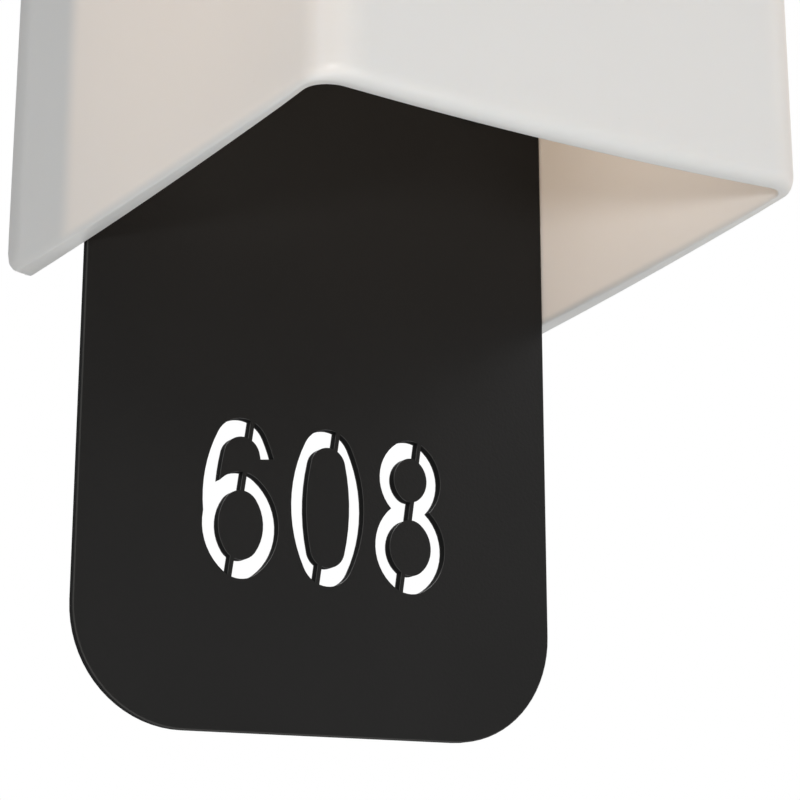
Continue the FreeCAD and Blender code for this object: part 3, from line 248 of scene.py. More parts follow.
def plate_coat(name):
    """The number plate's satin black; the walls of the cuts are matt and painted near black as painted shade,
    with a thin painted highlight along the front edges.
    """
    material, paint = new_paint(name)
    y = paint.along("Y")
    # Painted shade: the walls of the numerals' cuts are painted near black; they are also made matt.
    inside_cut = y.between(PLATE_FRONT + 0.0003, PLATE_FRONT + 0.0007)
    inside_cut = inside_cut * (1 - y.between(PLATE_BACK - 0.0007, PLATE_BACK - 0.0003))
    # Painted highlight: a thin pale line on the bevel of the front edges, where light catches them.
    painted_edge_highlight = y.between(PLATE_FRONT + 0.00002, PLATE_FRONT + 0.00012) * (1 - inside_cut)
    face = paint.blend(paint.noise(18, 3), (0.0105, 0.0103, 0.0100), (0.0150, 0.0146, 0.0142))
    edged = paint.blend(painted_edge_highlight, face, (0.045, 0.044, 0.042))
    skin = paint.noise(900, 2)
    paint.finish(
        {
            "Base Color": paint.blend(inside_cut, edged, (0.0012, 0.0012, 0.0012)),
            "Roughness": skin * 0.06 + 0.43 + inside_cut * 0.4,
            "Specular IOR Level": 0.12,
            "Normal": paint.bump(skin, 0.00012, 0.6),
        }
    )
    return material


def bright_metal(name, colour, roughness, spangle=0.08):
    """Plated or bare metal: small crystals, a fine grain and faint handling marks."""
    material, paint = new_paint(name)
    crystals = paint.cells(260, output="Color")
    level = paint.node("RGBToBW", sockets={0: crystals})
    lines = paint.noise(1.0, 2, place=paint.stretched(300, 300, 300))
    smears = paint.noise(30, 4)
    paint.finish(
        {
            "Base Color": paint.blend(level * 0.5 + lines * 0.5, scaled(colour, 1 - 2 * spangle), colour),
            "Metallic": 1.0,
            "Roughness": roughness + smears * 0.14 - 0.07 + lines * 0.05,
            "Normal": paint.bump(lines, 0.00004, 0.5),
        }
    )
    return material


def soft_rubber(name, colour, pores=False):
    """Matt rubber with dust in its grain; foam has open pores."""
    material, paint = new_paint(name)
    grain = paint.noise(1500, 2)
    height = grain * 0.3 + paint.cells(1100) if pores else grain
    dust = tuple(min(1.0, c * 1.6 + 0.015) for c in colour)
    paint.finish(
        {
            "Base Color": paint.blend(paint.noise(60, 4).between(0.35, 0.8), colour, dust),
            "Roughness": grain * 0.15 + 0.62,
            "Normal": paint.bump(height, 0.0002, 0.5),
        }
    )
    return material


def moulded_plastic(name, colour, roughness):
    """Moulded plastic: slight flow marks and a fine grain."""
    material, paint = new_paint(name)
    flow = paint.noise(1.0, 3, place=paint.stretched(35, 35, 90))
    paint.finish(
        {
            "Base Color": paint.blend(flow, scaled(colour, 0.86), colour),
            "Roughness": flow * 0.12 + roughness - 0.06,
            "Normal": paint.bump(paint.noise(1400, 1), 0.00006, 0.4),
        }
    )
    return material


def ceramic_finish(name, colour):
    """Unglazed steatite: fine grains and darker iron specks."""
    material, paint = new_paint(name)
    grains = paint.noise(1800, 3)
    iron = 1 - paint.cells(420).between(0.03, 0.10)
    body = paint.blend(grains, scaled(colour, 0.88), colour)
    paint.finish(
        {
            "Base Color": paint.blend(iron * 0.4, body, (0.35, 0.29, 0.22)),
            "Roughness": grains * 0.15 + 0.5,
            "Normal": paint.bump(grains, 0.00015, 0.5),
        }
    )
    return material


def lit_globe(name):
    """Opal globe of a lamp that is on: brightest towards its crown, warmer near the neck."""
    material, paint = new_paint(name)
    height = paint.along("Z").between(GLOBE_LOW.z, GLOBE_HIGH.z)
    cloud = paint.noise(60, 2)
    paint.finish(
        {
            "Base Color": paint.blend(cloud, (0.86, 0.84, 0.79), (0.90, 0.88, 0.84)),
            "Roughness": cloud * 0.08 + 0.22,
            "Emission Color": paint.blend(height, (0.56, 0.49, 0.39), (0.44, 0.34, 0.22)),
            "Emission Strength": 1.0,
        }
    )
    return material


def flex_sheath(name, colour):
    """Round flex: matt sheath with faint rings from drawing."""
    material, paint = new_paint(name)
    rings = (paint.along("Y") * 2600).sine() * 0.5 + 0.5
    scuffs = paint.noise(200, 4)
    paint.finish(
        {
            "Base Color": paint.blend(scuffs, colour, scaled(colour, 1.8)),
            "Roughness": scuffs * 0.2 + 0.4,
            "Normal": paint.bump(rings + scuffs, 0.00005, 0.3),
        }
    )
    return material


FINISHES = {
    "opal_shade": opal_finish("opal_shade"),
    "black_coat": plate_coat("black_coat"),
    "black_housing": powder_coat("black_housing", (0.022, 0.022, 0.022), peel=0.0002),
    "knob_metal": powder_coat("knob_metal", (0.02, 0.02, 0.02), roughness=0.36),
    "dark_screw": powder_coat("dark_screw", (0.03, 0.03, 0.03), roughness=0.32, peel=0.00006),
    "zinc_steel": bright_metal("zinc_steel", (0.62, 0.63, 0.65), 0.34),
    "screw_steel": bright_metal("screw_steel", (0.66, 0.66, 0.67), 0.26, spangle=0.04),
    "brass_screw": bright_metal("brass_screw", (0.78, 0.60, 0.30), 0.28, spangle=0.05),
    "shell_brass": bright_metal("shell_brass", (0.80, 0.62, 0.33), 0.25, spangle=0.05),
    "lamp_metal": bright_metal("lamp_metal", (0.74, 0.73, 0.71), 0.25, spangle=0.03),
    "silicone": soft_rubber("silicone", (0.62, 0.62, 0.60)),
    "foam_rubber": soft_rubber("foam_rubber", (0.035, 0.035, 0.035), pores=True),
    "black_rubber": soft_rubber("black_rubber", (0.025, 0.025, 0.025)),
    "terminal_nylon": moulded_plastic("terminal_nylon", (0.80, 0.79, 0.73), 0.42),
    "holder_plastic": moulded_plastic("holder_plastic", (0.028, 0.027, 0.026), 0.3),
    "lamp_plastic": moulded_plastic("lamp_plastic", (0.82, 0.82, 0.80), 0.42),
    "lamp_black_glass": moulded_plastic("lamp_black_glass", (0.015, 0.015, 0.016), 0.12),
    "holder_ceramic": ceramic_finish("holder_ceramic", (0.80, 0.78, 0.72)),
    "lamp_opal": lit_globe("lamp_opal"),
    "flex_sheath": flex_sheath("flex_sheath", (0.022, 0.022, 0.022)),
}


def dress_frame():
    """Gives each node of the frame the finish of its material slot."""
    for row in frame["record"]["subparts"]:
        piece = frame["nodes"][row["node"]]
        piece.data.materials.clear()
        piece.data.materials.append(FINISHES[row["material_slot"]])


dress_frame()


# ---------------------------------------------------------------- making pieces


def add_to_scene(name, data):
    made = bpy.data.objects.new(name, data)
    bpy.context.scene.collection.objects.link(made)
    return made


class Form:
    """The points and faces of a piece while it is put together."""

    def __init__(self):
        self.points = []
        self.faces = []

    def skin(self, rows, loop=False):
        """Joins closed rows of points into a skin; loop joins the last row to the first.

        A row of one point is a pole.
        """
        starts = []
        for row in rows:
            starts.append(len(self.points))
            self.points.extend(row)
        pairs = list(zip(range(len(rows)), range(1, len(rows))))
        if loop:
            pairs.append((len(rows) - 1, 0))
        for a, b in pairs:
            count = max(len(rows[a]), len(rows[b]))
            for near in range(count):
                far = (near + 1) % count
                corners = []
                for row, first, second in ((a, near, far), (b, far, near)):
                    ends = (first, second) if len(rows[row]) > 1 else (0,)
                    corners.extend(starts[row] + end for end in ends)
                self.faces.append(corners)
        return starts

    def turned(self, outline, centre, axis=(0, 0, 1), *, segments, loop=False, ripple=None):
        """Turns an outline of (radius, distance along the axis) in millimetres about an axis.

        ripple gives what is added to the radius at a row, a distance and a share of a turn.
        """
        axis = Vector(axis).normalized()
        side = axis.orthogonal().normalized()
        other = axis.cross(side)
        rows = []
        for number, (radius, along) in enumerate(outline):
            middle = Vector(centre) + axis * (along * MM)
            if radius == 0:
                rows.append([middle])
                continue
            row = []
            for k in range(segments):
                turn = k / segments
                reach = (radius + (ripple(number, along, turn) if ripple else 0.0)) * MM
                angle = 2 * math.pi * turn
                row.append(middle + (side * math.cos(angle) + other * math.sin(angle)) * reach)
            rows.append(row)
        self.skin(rows, loop=loop)
        return self

    def piece(self, name, slot, body, *nodes, crease=38):
        """Makes the piece: it takes the slot's finish, rides on the body and replaces the nodes.

        Edges that turn by more than crease degrees stay sharp.
        """
        mesh = bpy.data.meshes.new(name)
        mesh.from_pydata(self.points, [], self.faces)
        work = bmesh.new()
        work.from_mesh(mesh)
        bmesh.ops.recalc_face_normals(work, faces=work.faces)
        work.to_mesh(mesh)
        work.free()
        mesh.polygons.foreach_set("use_smooth", [True] * len(mesh.polygons))
        mesh.set_sharp_from_angle(angle=math.radians(crease))
        mesh.materials.append(FINISHES[slot])
        made = add_to_scene(name, mesh)
        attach(made, body)
        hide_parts(*nodes)
        return made


def steps(low, high, count):
    """Equal steps from low to high, with both ends."""
    return [low + (high - low) * k / count for k in range(count + 1)]


def quarter(radius, count):
    """Pairs (inward, along) round a quarter circle, from its side to its end."""
    angles = steps(0.0, math.pi / 2, count)
    return [(radius * (1 - math.cos(a)), radius * math.sin(a)) for a in angles]


def thread(pitch, depth, low, high):
    """A ripple that cuts a thread between two distances, with a short run-out at each end."""

    def cut(number, along, turn):
        if not low <= along <= high:
            return 0.0
        ease = min(1.0, (along - low) / pitch, (high - along) / pitch)
        return -depth * ease * (0.5 - 0.5 * math.cos(2 * math.pi * (along / pitch - turn)))

    return cut


# ---------------------------------------------------------------- opal shade

# The shade's forms, in millimetres: levels and depths, half widths in front and at the wall, rounds and lips.
SHADE = {
    "front": -187.5, "inside": -181.5, "back": -0.5, "rim": -105.0, "crown": 105.0, "ceiling": 99.5,
    "outer_half": (76.47, 93.0), "inner_half": (74.0, 85.8), "outer_corner": 11.5, "inner_corner": 7.5,
    "top_round": 12.0, "ceiling_round": 8.0, "heel": 9.0,
    "lip": 1.5, "front_lip": 2.7, "lip_rise": 4.2, "inner_lip": 0.4, "inner_lip_rise": 0.8, "back_lip": 1.6,
    "sag": 1.8, "side_sag": 0.6, "sag_fades": 60.0, "front_band": 8.0,
}
SIDE_STEPS, CORNER_STEPS, FRONT_STEPS, BACK_STEPS = 14, 10, 20, 6
LIP_STEPS, WALL_STEPS, ROUND_STEPS = 7, 16, 9
SHARPEST = 0.5


def shade_path(half, front, back, corner, inset=0.0, front_inset=0.0):
    """Points from the left rear, round the front, to the right rear; inset moves them towards the middle.

    front_inset moves the front alone further back, and fades out round the corners.
    """
    front_half, rear_half = half
    slope = (rear_half - front_half) / (back - front)
    lean = math.atan(slope)
    shift = inset / math.cos(lean)
    front_y = front + inset
    radius = max(corner - inset, SHARPEST)

    def side_x(y):
        return front_half + slope * (y - front) - shift

    middle_y = front_y + radius
    middle_x = side_x(middle_y) - radius / math.cos(lean)
    start = (middle_x + radius * math.cos(lean), middle_y - radius * math.sin(lean))
    right = [(x, front_y + front_inset) for x in steps(0.0, middle_x, FRONT_STEPS // 2)]
    for turn in steps(-math.pi / 2, -lean, CORNER_STEPS)[1:]:
        y = middle_y + radius * math.sin(turn) + front_inset * math.sin(turn) ** 2
        right.append((middle_x + radius * math.cos(turn), y))
    for y in steps(start[1], back, SIDE_STEPS)[1:]:
        right.append((side_x(y), y))
    left = [(-x, y) for x, y in reversed(right[1:])]
    return left + right


def shade_row(outer_inset, front_inset, outer_z, inner_inset, inner_z, heel):
    """One closed row round the wall's section: outer face, right rear edge, inner face, left rear edge."""
    lip, inside = SHADE["back_lip"], SHADE["inside"]
    back = SHADE["back"] - heel - lip
    outer = shade_path(
        SHADE["outer_half"], SHADE["front"], back, SHADE["outer_corner"], outer_inset, front_inset)
    inner = shade_path(SHADE["inner_half"], inside, back, SHADE["inner_corner"], -inner_inset)

    def sag(x, y):
        """The rim's slight droop between its corners."""
        if y < inside + SHADE["front_band"]:
            share = 1 - (x / SHADE["inner_half"][0]) ** 2
        else:
            along = (y - inside) / (SHADE["back"] - inside)
            share = 4 * along * (1 - along) * SHADE["side_sag"]
        return -SHADE["sag"] * max(share, 0.0)

    def raised(points, z):
        fall = max(0.0, 1 - (z - SHADE["rim"]) / SHADE["sag_fades"]) ** 2
        return [(x, y, z + sag(x, y) * fall) for x, y in points]

    outer, inner = raised(outer, outer_z), raised(inner, inner_z)

    def rear_edge(first, last):
        points = []
        for share in steps(0.0, 1.0, BACK_STEPS)[1:-1]:
            bulge = 1 - (2 * share - 1) ** 4
            spot = [a + (b - a) * share for a, b in zip(first, last)]
            points.append((spot[0], spot[1] + lip * bulge, spot[2]))
        return points

    row = outer + rear_edge(outer[-1], inner[-1]) + inner[::-1] + rear_edge(inner[0], outer[0])
    return [Vector(point) * MM for point in row], len(outer)


def shade_skin():
    """The thick shade with soft lips: open below and behind, closed on top, flaring towards the wall."""
    rim, crown, ceiling = SHADE["rim"], SHADE["crown"], SHADE["ceiling"]
    top, under = SHADE["top_round"], SHADE["ceiling_round"]
    lip_rise, inner_rise = SHADE["lip_rise"], SHADE["inner_lip_rise"]

    def heel_at(z):
        """How far the rear edge is rounded away at a level."""
        short = SHADE["heel"] - (z - rim)
        return SHADE["heel"] - math.sqrt(SHADE["heel"] ** 2 - short**2) if short > 0 else 0.0

    # Levels from below: the lips of the rim, the wall between the rounds, the rounds of crown and ceiling.
    levels = []
    for angle in steps(0.0, math.pi / 2, LIP_STEPS):
        inward, along = 1 - math.sin(angle), 1 - math.cos(angle)
        levels.append((SHADE["lip"] * inward, SHADE["front_lip"] * inward, rim + lip_rise * along,
                       SHADE["inner_lip"] * inward, rim + inner_rise * along))
    for share in steps(0.0, 1.0, WALL_STEPS)[1:]:
        climb = share**1.5
        levels.append((0.0, 0.0, rim + lip_rise + (crown - top - rim - lip_rise) * climb,
                       0.0, rim + inner_rise + (ceiling - under - rim - inner_rise) * climb))
    for angle in steps(0.0, math.pi / 2, ROUND_STEPS)[1:]:
        levels.append((top * (1 - math.cos(angle)), 0.0, crown - top + top * math.sin(angle),
                       -under * (1 - math.cos(angle)), ceiling - under + under * math.sin(angle)))

    rows = []
    for level in levels:
        row, width = shade_row(*level, heel_at(level[2]))
        rows.append(row)
    form = Form()
    starts = form.skin(rows)
    loop = len(rows[0])
    first, last = starts[0], starts[-1]
    half_back = loop // 2 - width
    # The rim closes the skin below, from the outer face to the inner one.
    for k in range(width - 1):
        inner_k = 2 * width + half_back - 1 - k
        form.faces.append([first + k, first + k + 1, first + inner_k - 1, first + inner_k])
    right = [first + width - 1 + k for k in range(half_back + 2)]
    left = [first + (loop - half_back + k - 1) % loop for k in range(half_back + 2)]
    form.faces += [right, left]
    # The flat of the crown and of the ceiling, and the rear edge between them.
    form.faces.append([last + k for k in range(width)])
    form.faces.append([last + width + half_back + k for k in range(width)])
    for k in range(half_back + 1):
        corners = (right[k], right[k + 1], left[-2 - k], left[-1 - k])
        form.faces.append([corner - first + last for corner in corners])
    form.piece("shade_skin", "opal_shade", "shade_unit", "shade", crease=60)


shade_skin()


# ---------------------------------------------------------------- screws and knobs

X, Y = 0, 1

# The small screws, in millimetres: radius and height of the head, width of its rounding and the level where
# it starts; radius of the shank, pitch and depth of its thread, length of its point; and the hexagon recess.
HEAD, HEAD_HIGH, HEAD_ROUND, HEAD_BAND = 3.8, 2.4, 1.3, 0.75
SHANK, SCREW_PITCH, SCREW_CUT, SCREW_POINT = 2.0, 0.8, 0.35, 1.0
HEX_APOTHEM, HEX_DEEP, HEX_BREAK = 1.25, 1.3, 0.15


def hexagon(turn):
    """What the recess adds to its apothem at a share of a turn."""
    return HEX_APOTHEM * (1 / math.cos(math.radians((turn * 360) % 60 - 30)) - 1)


def pan_screw(form, seat, outward, long):
    """A pan-head screw with a hexagon recess. The seat is where the head's underside rests."""
    flat, bottom = HEAD - HEAD_ROUND, HEAD_HIGH - HEX_DEEP
    outline = [(0, bottom), (HEX_APOTHEM, bottom), (HEX_APOTHEM, HEAD_HIGH - HEX_BREAK),
               (HEX_APOTHEM + HEX_BREAK, HEAD_HIGH), (flat - 0.2, HEAD_HIGH)]
    for angle in steps(math.pi / 2, 0.0, 6):
        out, up = math.cos(angle), math.sin(angle)
        outline.append((flat + HEAD_ROUND * out, HEAD_BAND + (HEAD_HIGH - HEAD_BAND) * up))
    outline += [(HEAD, 0.15), (HEAD - 0.15, 0.0), (SHANK + 0.25, 0.0), (SHANK, -0.3)]
    for along in steps(-0.3, SCREW_POINT - long, int((long - 1.3) * 8 / SCREW_PITCH))[1:]:
        outline.append((SHANK, along))
    outline += [(SHANK * 0.6, -long), (0, -long)]
    cut = thread(SCREW_PITCH, SCREW_CUT, SCREW_POINT - long, -0.6)

    def ripple(number, along, turn):
        return hexagon(turn) if 1 <= number <= 3 else cut(number, along, turn)

    form.turned(outline, seat, outward, segments=24, ripple=ripple)


def screws_of(node, axis, seat, long, places, slot):
    """The screws of one node: seat is their heads' level in mm along the axis, long that of their shanks."""
    form = Form()
    for place in places:
        middle = Vector(place) * MM
        side = math.copysign(1.0, middle[axis]) if axis == X else -1.0
        middle[axis] = side * abs(seat) * MM
        outward = Vector([side if k == axis else 0.0 for k in range(3)])
        pan_screw(form, middle, outward, long)
    form.piece(node + "_turned", slot, "wall_unit", node)


def plate_corners():
    """The places of the number plate's four screws, in mm: their heads touch the edges of the node's box."""
    low, high = (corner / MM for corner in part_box("plate_screws"))
    return [(x, 0.0, z) for x in (low.x + HEAD, high.x - HEAD) for z in (low.z + HEAD, high.z - HEAD)]


# The knobs, in millimetres: their radius and rounding, their shank's radius and their flutes.
KNOB, KNOB_ROUND, KNOB_SHANK = 9.0, 1.0, 2.5
FLUTES, FLUTE_DEEP = 12, 1.5


def thumb_knob(side):
    """A fluted knob with a crowned cap, a neck and a threaded shank, on the joint's own axis."""
    joint = next(j for j in frame["record"]["behaviour"]["joints"] if j["name"] == f"thumb_{side}_turn")
    tip, low, high = -15.8, 4.8, 13.8
    outline = [(0, tip), (KNOB_SHANK - 0.7, tip), (KNOB_SHANK, tip + 0.7)]
    outline += [(KNOB_SHANK, along) for along in steps(-14.9, 1.0, 160)]
    # The neck widens from the pad to the knob.
    outline += [(KNOB_SHANK, 1.8), (6.8, 1.8), (7.0, 2.0), (8.0, low - 0.2), (8.2, low)]
    rim_low = len(outline)
    rounding = quarter(KNOB_ROUND, 4)
    outline += [(KNOB - inward, low + KNOB_ROUND - along) for inward, along in reversed(rounding)]
    outline += [(KNOB, along) for along in steps(6.4, 12.2, 6)]
    outline += [(KNOB - inward, high - KNOB_ROUND + along) for inward, along in rounding]
    rim_high = len(outline)
    # A ring groove round the slightly crowned cap.
    outline += [(6.9, high), (6.6, high - 0.35), (6.2, high - 0.35), (5.9, high - 0.1), (4.0, high - 0.04),
                (2.0, high), (0, high)]
    cut = thread(SCREW_PITCH, 0.4, -15.0, 0.9)

    def ripple(number, along, turn):
        if number < rim_low:
            return cut(number, along, turn) if outline[number][0] == KNOB_SHANK else 0.0
        if number >= rim_high:
            return 0.0
        hollow = (0.5 + 0.5 * math.cos(2 * math.pi * FLUTES * turn)) ** 1.3
        return -FLUTE_DEEP * hollow * max(0.0, outline[number][0] - (KNOB - KNOB_ROUND))

    form = Form().turned(outline, joint["pos_m"], joint["axis"], segments=FLUTES * 16, ripple=ripple)
    form.piece(f"thumb_knob_{side}", "knob_metal", f"thumb_{side}", f"thumb_screw_{side}")


screws_of("plate_screws", Y, PLATE_FRONT / MM, 9.5, plate_corners(), "dark_screw")
screws_of("bracket_screws", Y, -48.5, 11.5, [(-14, 0, 55.8), (14, 0, 55.8)], "dark_screw")
screws_of("hook_screws", X, 71.6, 7.6, [(s, -28.5, z) for s in (-1, 1) for z in (30, 50)], "screw_steel")
screws_of("housing_screws", X, 70.0, 6.2, [(s, -11, 0) for s in (-1, 1)], "dark_screw")
screws_of("earth_screw", Y, -2.8, 2.8, [(35, 0, -35)], "brass_screw")
for side in ("left", "right"):
    thumb_knob(side)


# ---------------------------------------------------------------- lamp and its holder

# A point on the lamp's axis, in metres. Radii and levels along the axis are in millimetres: the globe's radius
# and the share of it that its inner face has, the screw cap's ends, radius and mouth, and the thread's pitch.
LAMP_AXIS = (0.0, GLOBE_MIDDLE.y, 0.0)
GLOBE, GLASS_SHARE = 30.0, 0.98
CAP_LOW, CAP_HIGH, CAP, CAP_MOUTH = 29.1, 49.1, 13.35, 10.6
E27_PITCH = 3.63


def lamp_globe():
    """A smooth glass ball, thin at its mouth, which the collar closes."""
    middle = GLOBE_LOW.z / MM + GLOBE
    mouth = math.asin((GLOBE_HIGH.z / MM - middle) / GLOBE)
    outer = [(GLOBE * math.cos(a), middle + GLOBE * math.sin(a)) for a in steps(-math.pi / 2, mouth, 44)]
    outer[0] = (0, middle - GLOBE)
    inner = [(radius * GLASS_SHARE, middle + (z - middle) * GLASS_SHARE) for radius, z in reversed(outer)]
    glass = Form().turned(outer + inner, LAMP_AXIS, segments=80).piece(
        "lamp_glass", "lamp_opal", "lamp", "lamp_globe", crease=60)
    # The lamp's light stands inside the glass and passes through it.
    glass.visible_shadow = False


def lamp_collar():
    """The collar sweeps in an S from the globe to the screw cap, with a parting line near the globe."""
    low, wide, narrow, plug, foot, groove = 2.5, 19.0, 13.3, 12.7, 0.9, 0.35
    outline = [(0, low), (wide - 0.6, low), (wide - 0.1, low + 0.3), (wide, low + foot)]
    for share in steps(0.0, 1.0, 26)[1:]:
        sweep = share * share * (3 - 2 * share)
        outline.append((wide + (narrow - wide) * sweep, low + foot + (CAP_LOW - low - foot) * share))
    outline += [(plug, CAP_LOW), (plug, CAP_LOW + 6), (0, CAP_LOW + 6)]

    def parting(number, along, turn):
        return -groove if 4 <= number <= 5 else 0.0

    Form().turned(outline, LAMP_AXIS, segments=72, ripple=parting).piece(
        "lamp_neck", "lamp_plastic", "lamp", "lamp_collar")


def lamp_cap():
    """The rolled screw cap: rounded threads, a slanted shoulder and the glass and contact on top."""
    high, sheet, turns_end = CAP_HIGH, 0.6, 66
    outline = [(CAP - sheet, CAP_LOW), (CAP, CAP_LOW)]
    outline += [(CAP, along) for along in steps(CAP_LOW + 0.4, high - 2.4, turns_end - 2)]
    outline += [(CAP - 0.3, high - 1.7), (CAP - 2.0, high), (CAP_MOUTH, high), (CAP_MOUTH, high - sheet),
                (CAP - sheet, high - 3)]
    cut = thread(E27_PITCH, sheet, CAP_LOW + 1.5, high - 2.2)

    def ripple(number, along, turn):
        return cut(number, along, turn) if 2 <= number <= turns_end else 0.0

    Form().turned(outline, LAMP_AXIS, segments=72, loop=True, ripple=ripple).piece(
        "lamp_screw_cap", "lamp_metal", "lamp", "lamp_cap", crease=50)
    cone_top, button = high + 3.0, 4.5
    cone = [(0, high), (CAP_MOUTH, high), (CAP_MOUTH - 0.2, high + 0.5), (button + 0.4, cone_top - 0.1),
            (button, cone_top), (0, cone_top)]
    Form().turned(cone, LAMP_AXIS, segments=48).piece(
        "lamp_glass_cone", "lamp_black_glass", "lamp", "lamp_insulator")
    contact = [(0, cone_top), (button, cone_top), (button, cone_top + 0.4), (button - 0.9, cone_top + 0.95),
               (0, cone_top + 1.2)]
    Form().turned(contact, LAMP_AXIS, segments=40).piece(
        "lamp_button", "lamp_metal", "lamp", "lamp_contact", crease=25)


def holder_body():
    """The holder's skirt: a rolled lip, two rings and a rounded shoulder, open below."""
    low, high, wide, inner, bore, ring = 31.0, 65.0, 20.0, 18.0, 5.0, 0.5
    shoulder, round_in, round_up = 60.2, 3.0, 4.8
    outline = [(inner, low + 0.5), (inner + 0.5, low), (wide - 0.6, low), (wide, low + 0.6),
               (wide, low + 2.6), (wide - ring, low + 3.0), (wide - ring, low + 4.0), (wide, low + 4.4)]
    outline += [(wide, along) for along in (40, 46, 52, shoulder - 3.6)]
    outline += [(wide - ring, shoulder - 3.2), (wide - ring, shoulder - 2.4), (wide, shoulder - 2.0)]
    outline += [(wide - round_in * (1 - math.cos(a)), shoulder + round_up * math.sin(a))
                for a in steps(0.0, math.pi / 2, 7)]
    outline += [(bore, high), (bore, high - 2), (inner - 0.4, high - 2), (inner, high - 2.4)]
    Form().turned(outline, LAMP_AXIS, segments=80, loop=True).piece(
        "holder_skirt", "holder_plastic", "wall_unit", "holder_body", crease=45)


def holder_shell():
    """The threaded brass shell; its rolled threads stand outwards, clear of the lamp's."""
    low, high, inner, sheet, run_out, bulge = 34.0, 56.0, 13.7, 0.5, 2.0, 0.45
    inside = [(inner, along) for along in steps(low, high, 70)]
    outline = inside + [(radius + sheet, along) for radius, along in reversed(inside)]

    def rolled(number, along, turn):
        ease = min(1.0, (along - low) / run_out, (high - along) / run_out)
        return bulge * ease * (0.5 + 0.5 * math.cos(2 * math.pi * (along / E27_PITCH - turn)))

    Form().turned(outline, LAMP_AXIS, segments=72, loop=True, ripple=rolled).piece(
        "holder_thread", "shell_brass", "wall_unit", "holder_shell", crease=50)


def nipple():
    """The threaded tube between bracket and holder."""
    low, high, wide, bore, edge = 75.5, 91.5, 5.0, 3.5, 0.4
    outline = [(bore, low), (wide - edge, low), (wide, low + edge)]
    outline += [(wide, along) for along in steps(low + 0.5, high - 0.5, 120)]
    outline += [(wide, high - edge), (wide - edge, high), (bore, high)]
    cut = thread(1.0, 0.5, low + 0.6, high - 0.6)

    def ripple(number, along, turn):
        return cut(number, along, turn) if outline[number][0] == wide else 0.0

    Form().turned(outline, LAMP_AXIS, segments=40, loop=True, ripple=ripple).piece(
        "nipple_tube", "zinc_steel", "wall_unit", "nipple")


lamp_globe()
lamp_collar()
lamp_cap()
holder_body()
holder_shell()
nipple()


# ---------------------------------------------------------------- folded and moulded pieces

# How wide the softened edges of each node are, in millimetres.
BROKEN_EDGES = {
    "rear_housing": 0.8, "wall_plate": 0.3, "lamp_bracket": 0.35,
    "shade_hook_left": 0.25, "shade_hook_right": 0.25,
    "terminal_block": 0.4, "nipple_nut": 0.3, "clamp_nuts": 0.3, "holder_cap": 0.3, "holder_insert": 0.3,
    "inner_pads": 0.3, "outer_pads": 0.3, "flex_grommet": 0.3, "cable_grommet": 0.3, "earth_washer": 0.12,
}


def break_edges():
    """Softens the sharp edges of folded sheet, rubber and moulded pieces, once their faces are joined."""
    for node, width in BROKEN_EDGES.items():
        piece = frame["nodes"][node]
        weld = piece.modifiers.new("one_skin", "WELD")
        weld.merge_threshold = 0.01 * MM
        bevel = piece.modifiers.new("broken_edge", "BEVEL")
        bevel.width = width * MM
        bevel.segments = 2
        bevel.limit_method = "ANGLE"
        bevel.angle_limit = math.radians(50)
        bevel.use_clamp_overlap = True


break_edges()


# ---------------------------------------------------------------- stage, light and camera


WHITE = (1.0, 1.0, 1.0, 1.0)
FLOOR_SIZE, FLOOR_DROP, FLOOR_PALENESS = 8.0, 0.80, 0.62
SKY_LEVEL = 0.29

# Soft round lights: name, place, size in metres and watts.
LIGHTS = (
    ("key", (1.2, -1.3, 0.9), 1.2, 4.8),
    ("behind", (0.5, 1.7, 0.7), 1.2, 10),
    ("fill", (-0.9, -1.2, -0.42), 0.14, 6.8),
    ("under", (0.1, -0.9, -0.9), 0.7, 3.4),
)
LIGHTS_AIM = Vector((0.0, -0.1, -0.05))

CAMERA_PLACE, CAMERA_YAW, CAMERA_PITCH = (-0.2652, -0.5545, -0.2979), 29.82, 13.33
CAMERA_LENS, CAMERA_SHIFT = 83.91, 0.07


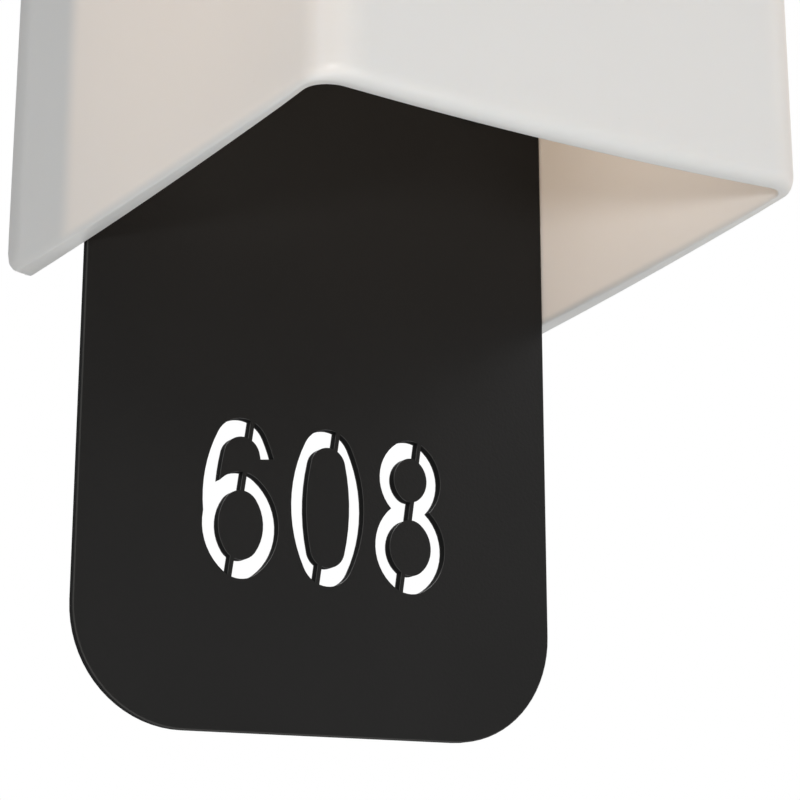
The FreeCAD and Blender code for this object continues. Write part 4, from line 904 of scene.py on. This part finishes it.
def stage_floor():
    """A plain floor well below the sign, paler for the camera and in reflections than its light makes it."""
    size, level = FLOOR_SIZE, CAD_BOX[0][2] - FLOOR_DROP
    mesh = bpy.data.meshes.new("floor")
    corners = [(-size, -size, level), (size, -size, level), (size, size, level), (-size, size, level)]
    mesh.from_pydata(corners, [], [(0, 1, 2, 3)])
    floor = add_to_scene("floor", mesh)
    material, paint = new_paint("floor_paint")
    colour = paint.blend(paint.noise(3, 2), (0.80, 0.80, 0.79), (0.84, 0.84, 0.83))
    matt = paint.node("BsdfDiffuse", sockets={"Color": colour}, output="BSDF")
    pale = paint.node("Emission", sockets={"Color": WHITE, "Strength": FLOOR_PALENESS}, output="Emission")
    both = paint.node("AddShader", sockets={0: matt, 1: pale}, output="Shader")
    seen = paint.node("LightPath", output="Is Camera Ray")
    mirrored = paint.node("LightPath", output="Is Glossy Ray")
    shown = paint.node("MixShader", sockets={0: seen.most(mirrored), 1: matt, 2: both}, output="Shader")
    paint.node("OutputMaterial", sockets={"Surface": shown})
    mesh.materials.append(material)


def studio_world():
    """White for the camera and in reflections, a plain soft grey as light."""
    world = bpy.data.worlds.new("studio")
    bpy.context.scene.world = world
    paint = Paint(world)
    seen = paint.node("LightPath", output="Is Camera Ray")
    mirrored = paint.node("LightPath", output="Is Glossy Ray")
    through = paint.node("LightPath", output="Is Transmission Ray")
    level = seen.most(mirrored).most(through) * (1.0 - SKY_LEVEL) + SKY_LEVEL
    sky = paint.node("Background", sockets={"Color": WHITE, "Strength": level})
    paint.node("OutputWorld", sockets={"Surface": sky})


def studio_lights():
    for name, place, size, watts in LIGHTS:
        data = bpy.data.lights.new(name, "AREA")
        data.shape = "DISK"
        data.size = size
        data.energy = watts
        light = add_to_scene(name, data)
        light.location = place
        light.rotation_euler = (LIGHTS_AIM - Vector(place)).to_track_quat("-Z", "Y").to_euler()
        light.visible_camera = False


def lamp_light():
    """The lamp's own small warm light, in the middle of its globe."""
    data = bpy.data.lights.new("lamp_light", "POINT")
    data.energy = 0.056
    data.color = (1.0, 0.91, 0.84)
    data.shadow_soft_size = 0.02
    light = add_to_scene("lamp_light", data)
    light.location = GLOBE_MIDDLE
    light.visible_camera = False


def photo_camera():
    """The photograph's viewing angle: from the left, a little below, turned up."""
    data = bpy.data.cameras.new("photo_camera")
    data.sensor_width = 36.0
    data.lens = CAMERA_LENS
    data.shift_y = CAMERA_SHIFT
    data.clip_start = 0.05
    data.clip_end = 50.0
    camera = add_to_scene("photo_camera", data)
    camera.location = CAMERA_PLACE
    camera.rotation_euler = (math.radians(90 + CAMERA_PITCH), 0.0, -math.radians(CAMERA_YAW))
    bpy.context.scene.camera = camera


stage_floor()
studio_world()
studio_lights()
lamp_light()
photo_camera()
bpy.context.scene.view_settings.view_transform = "Standard"
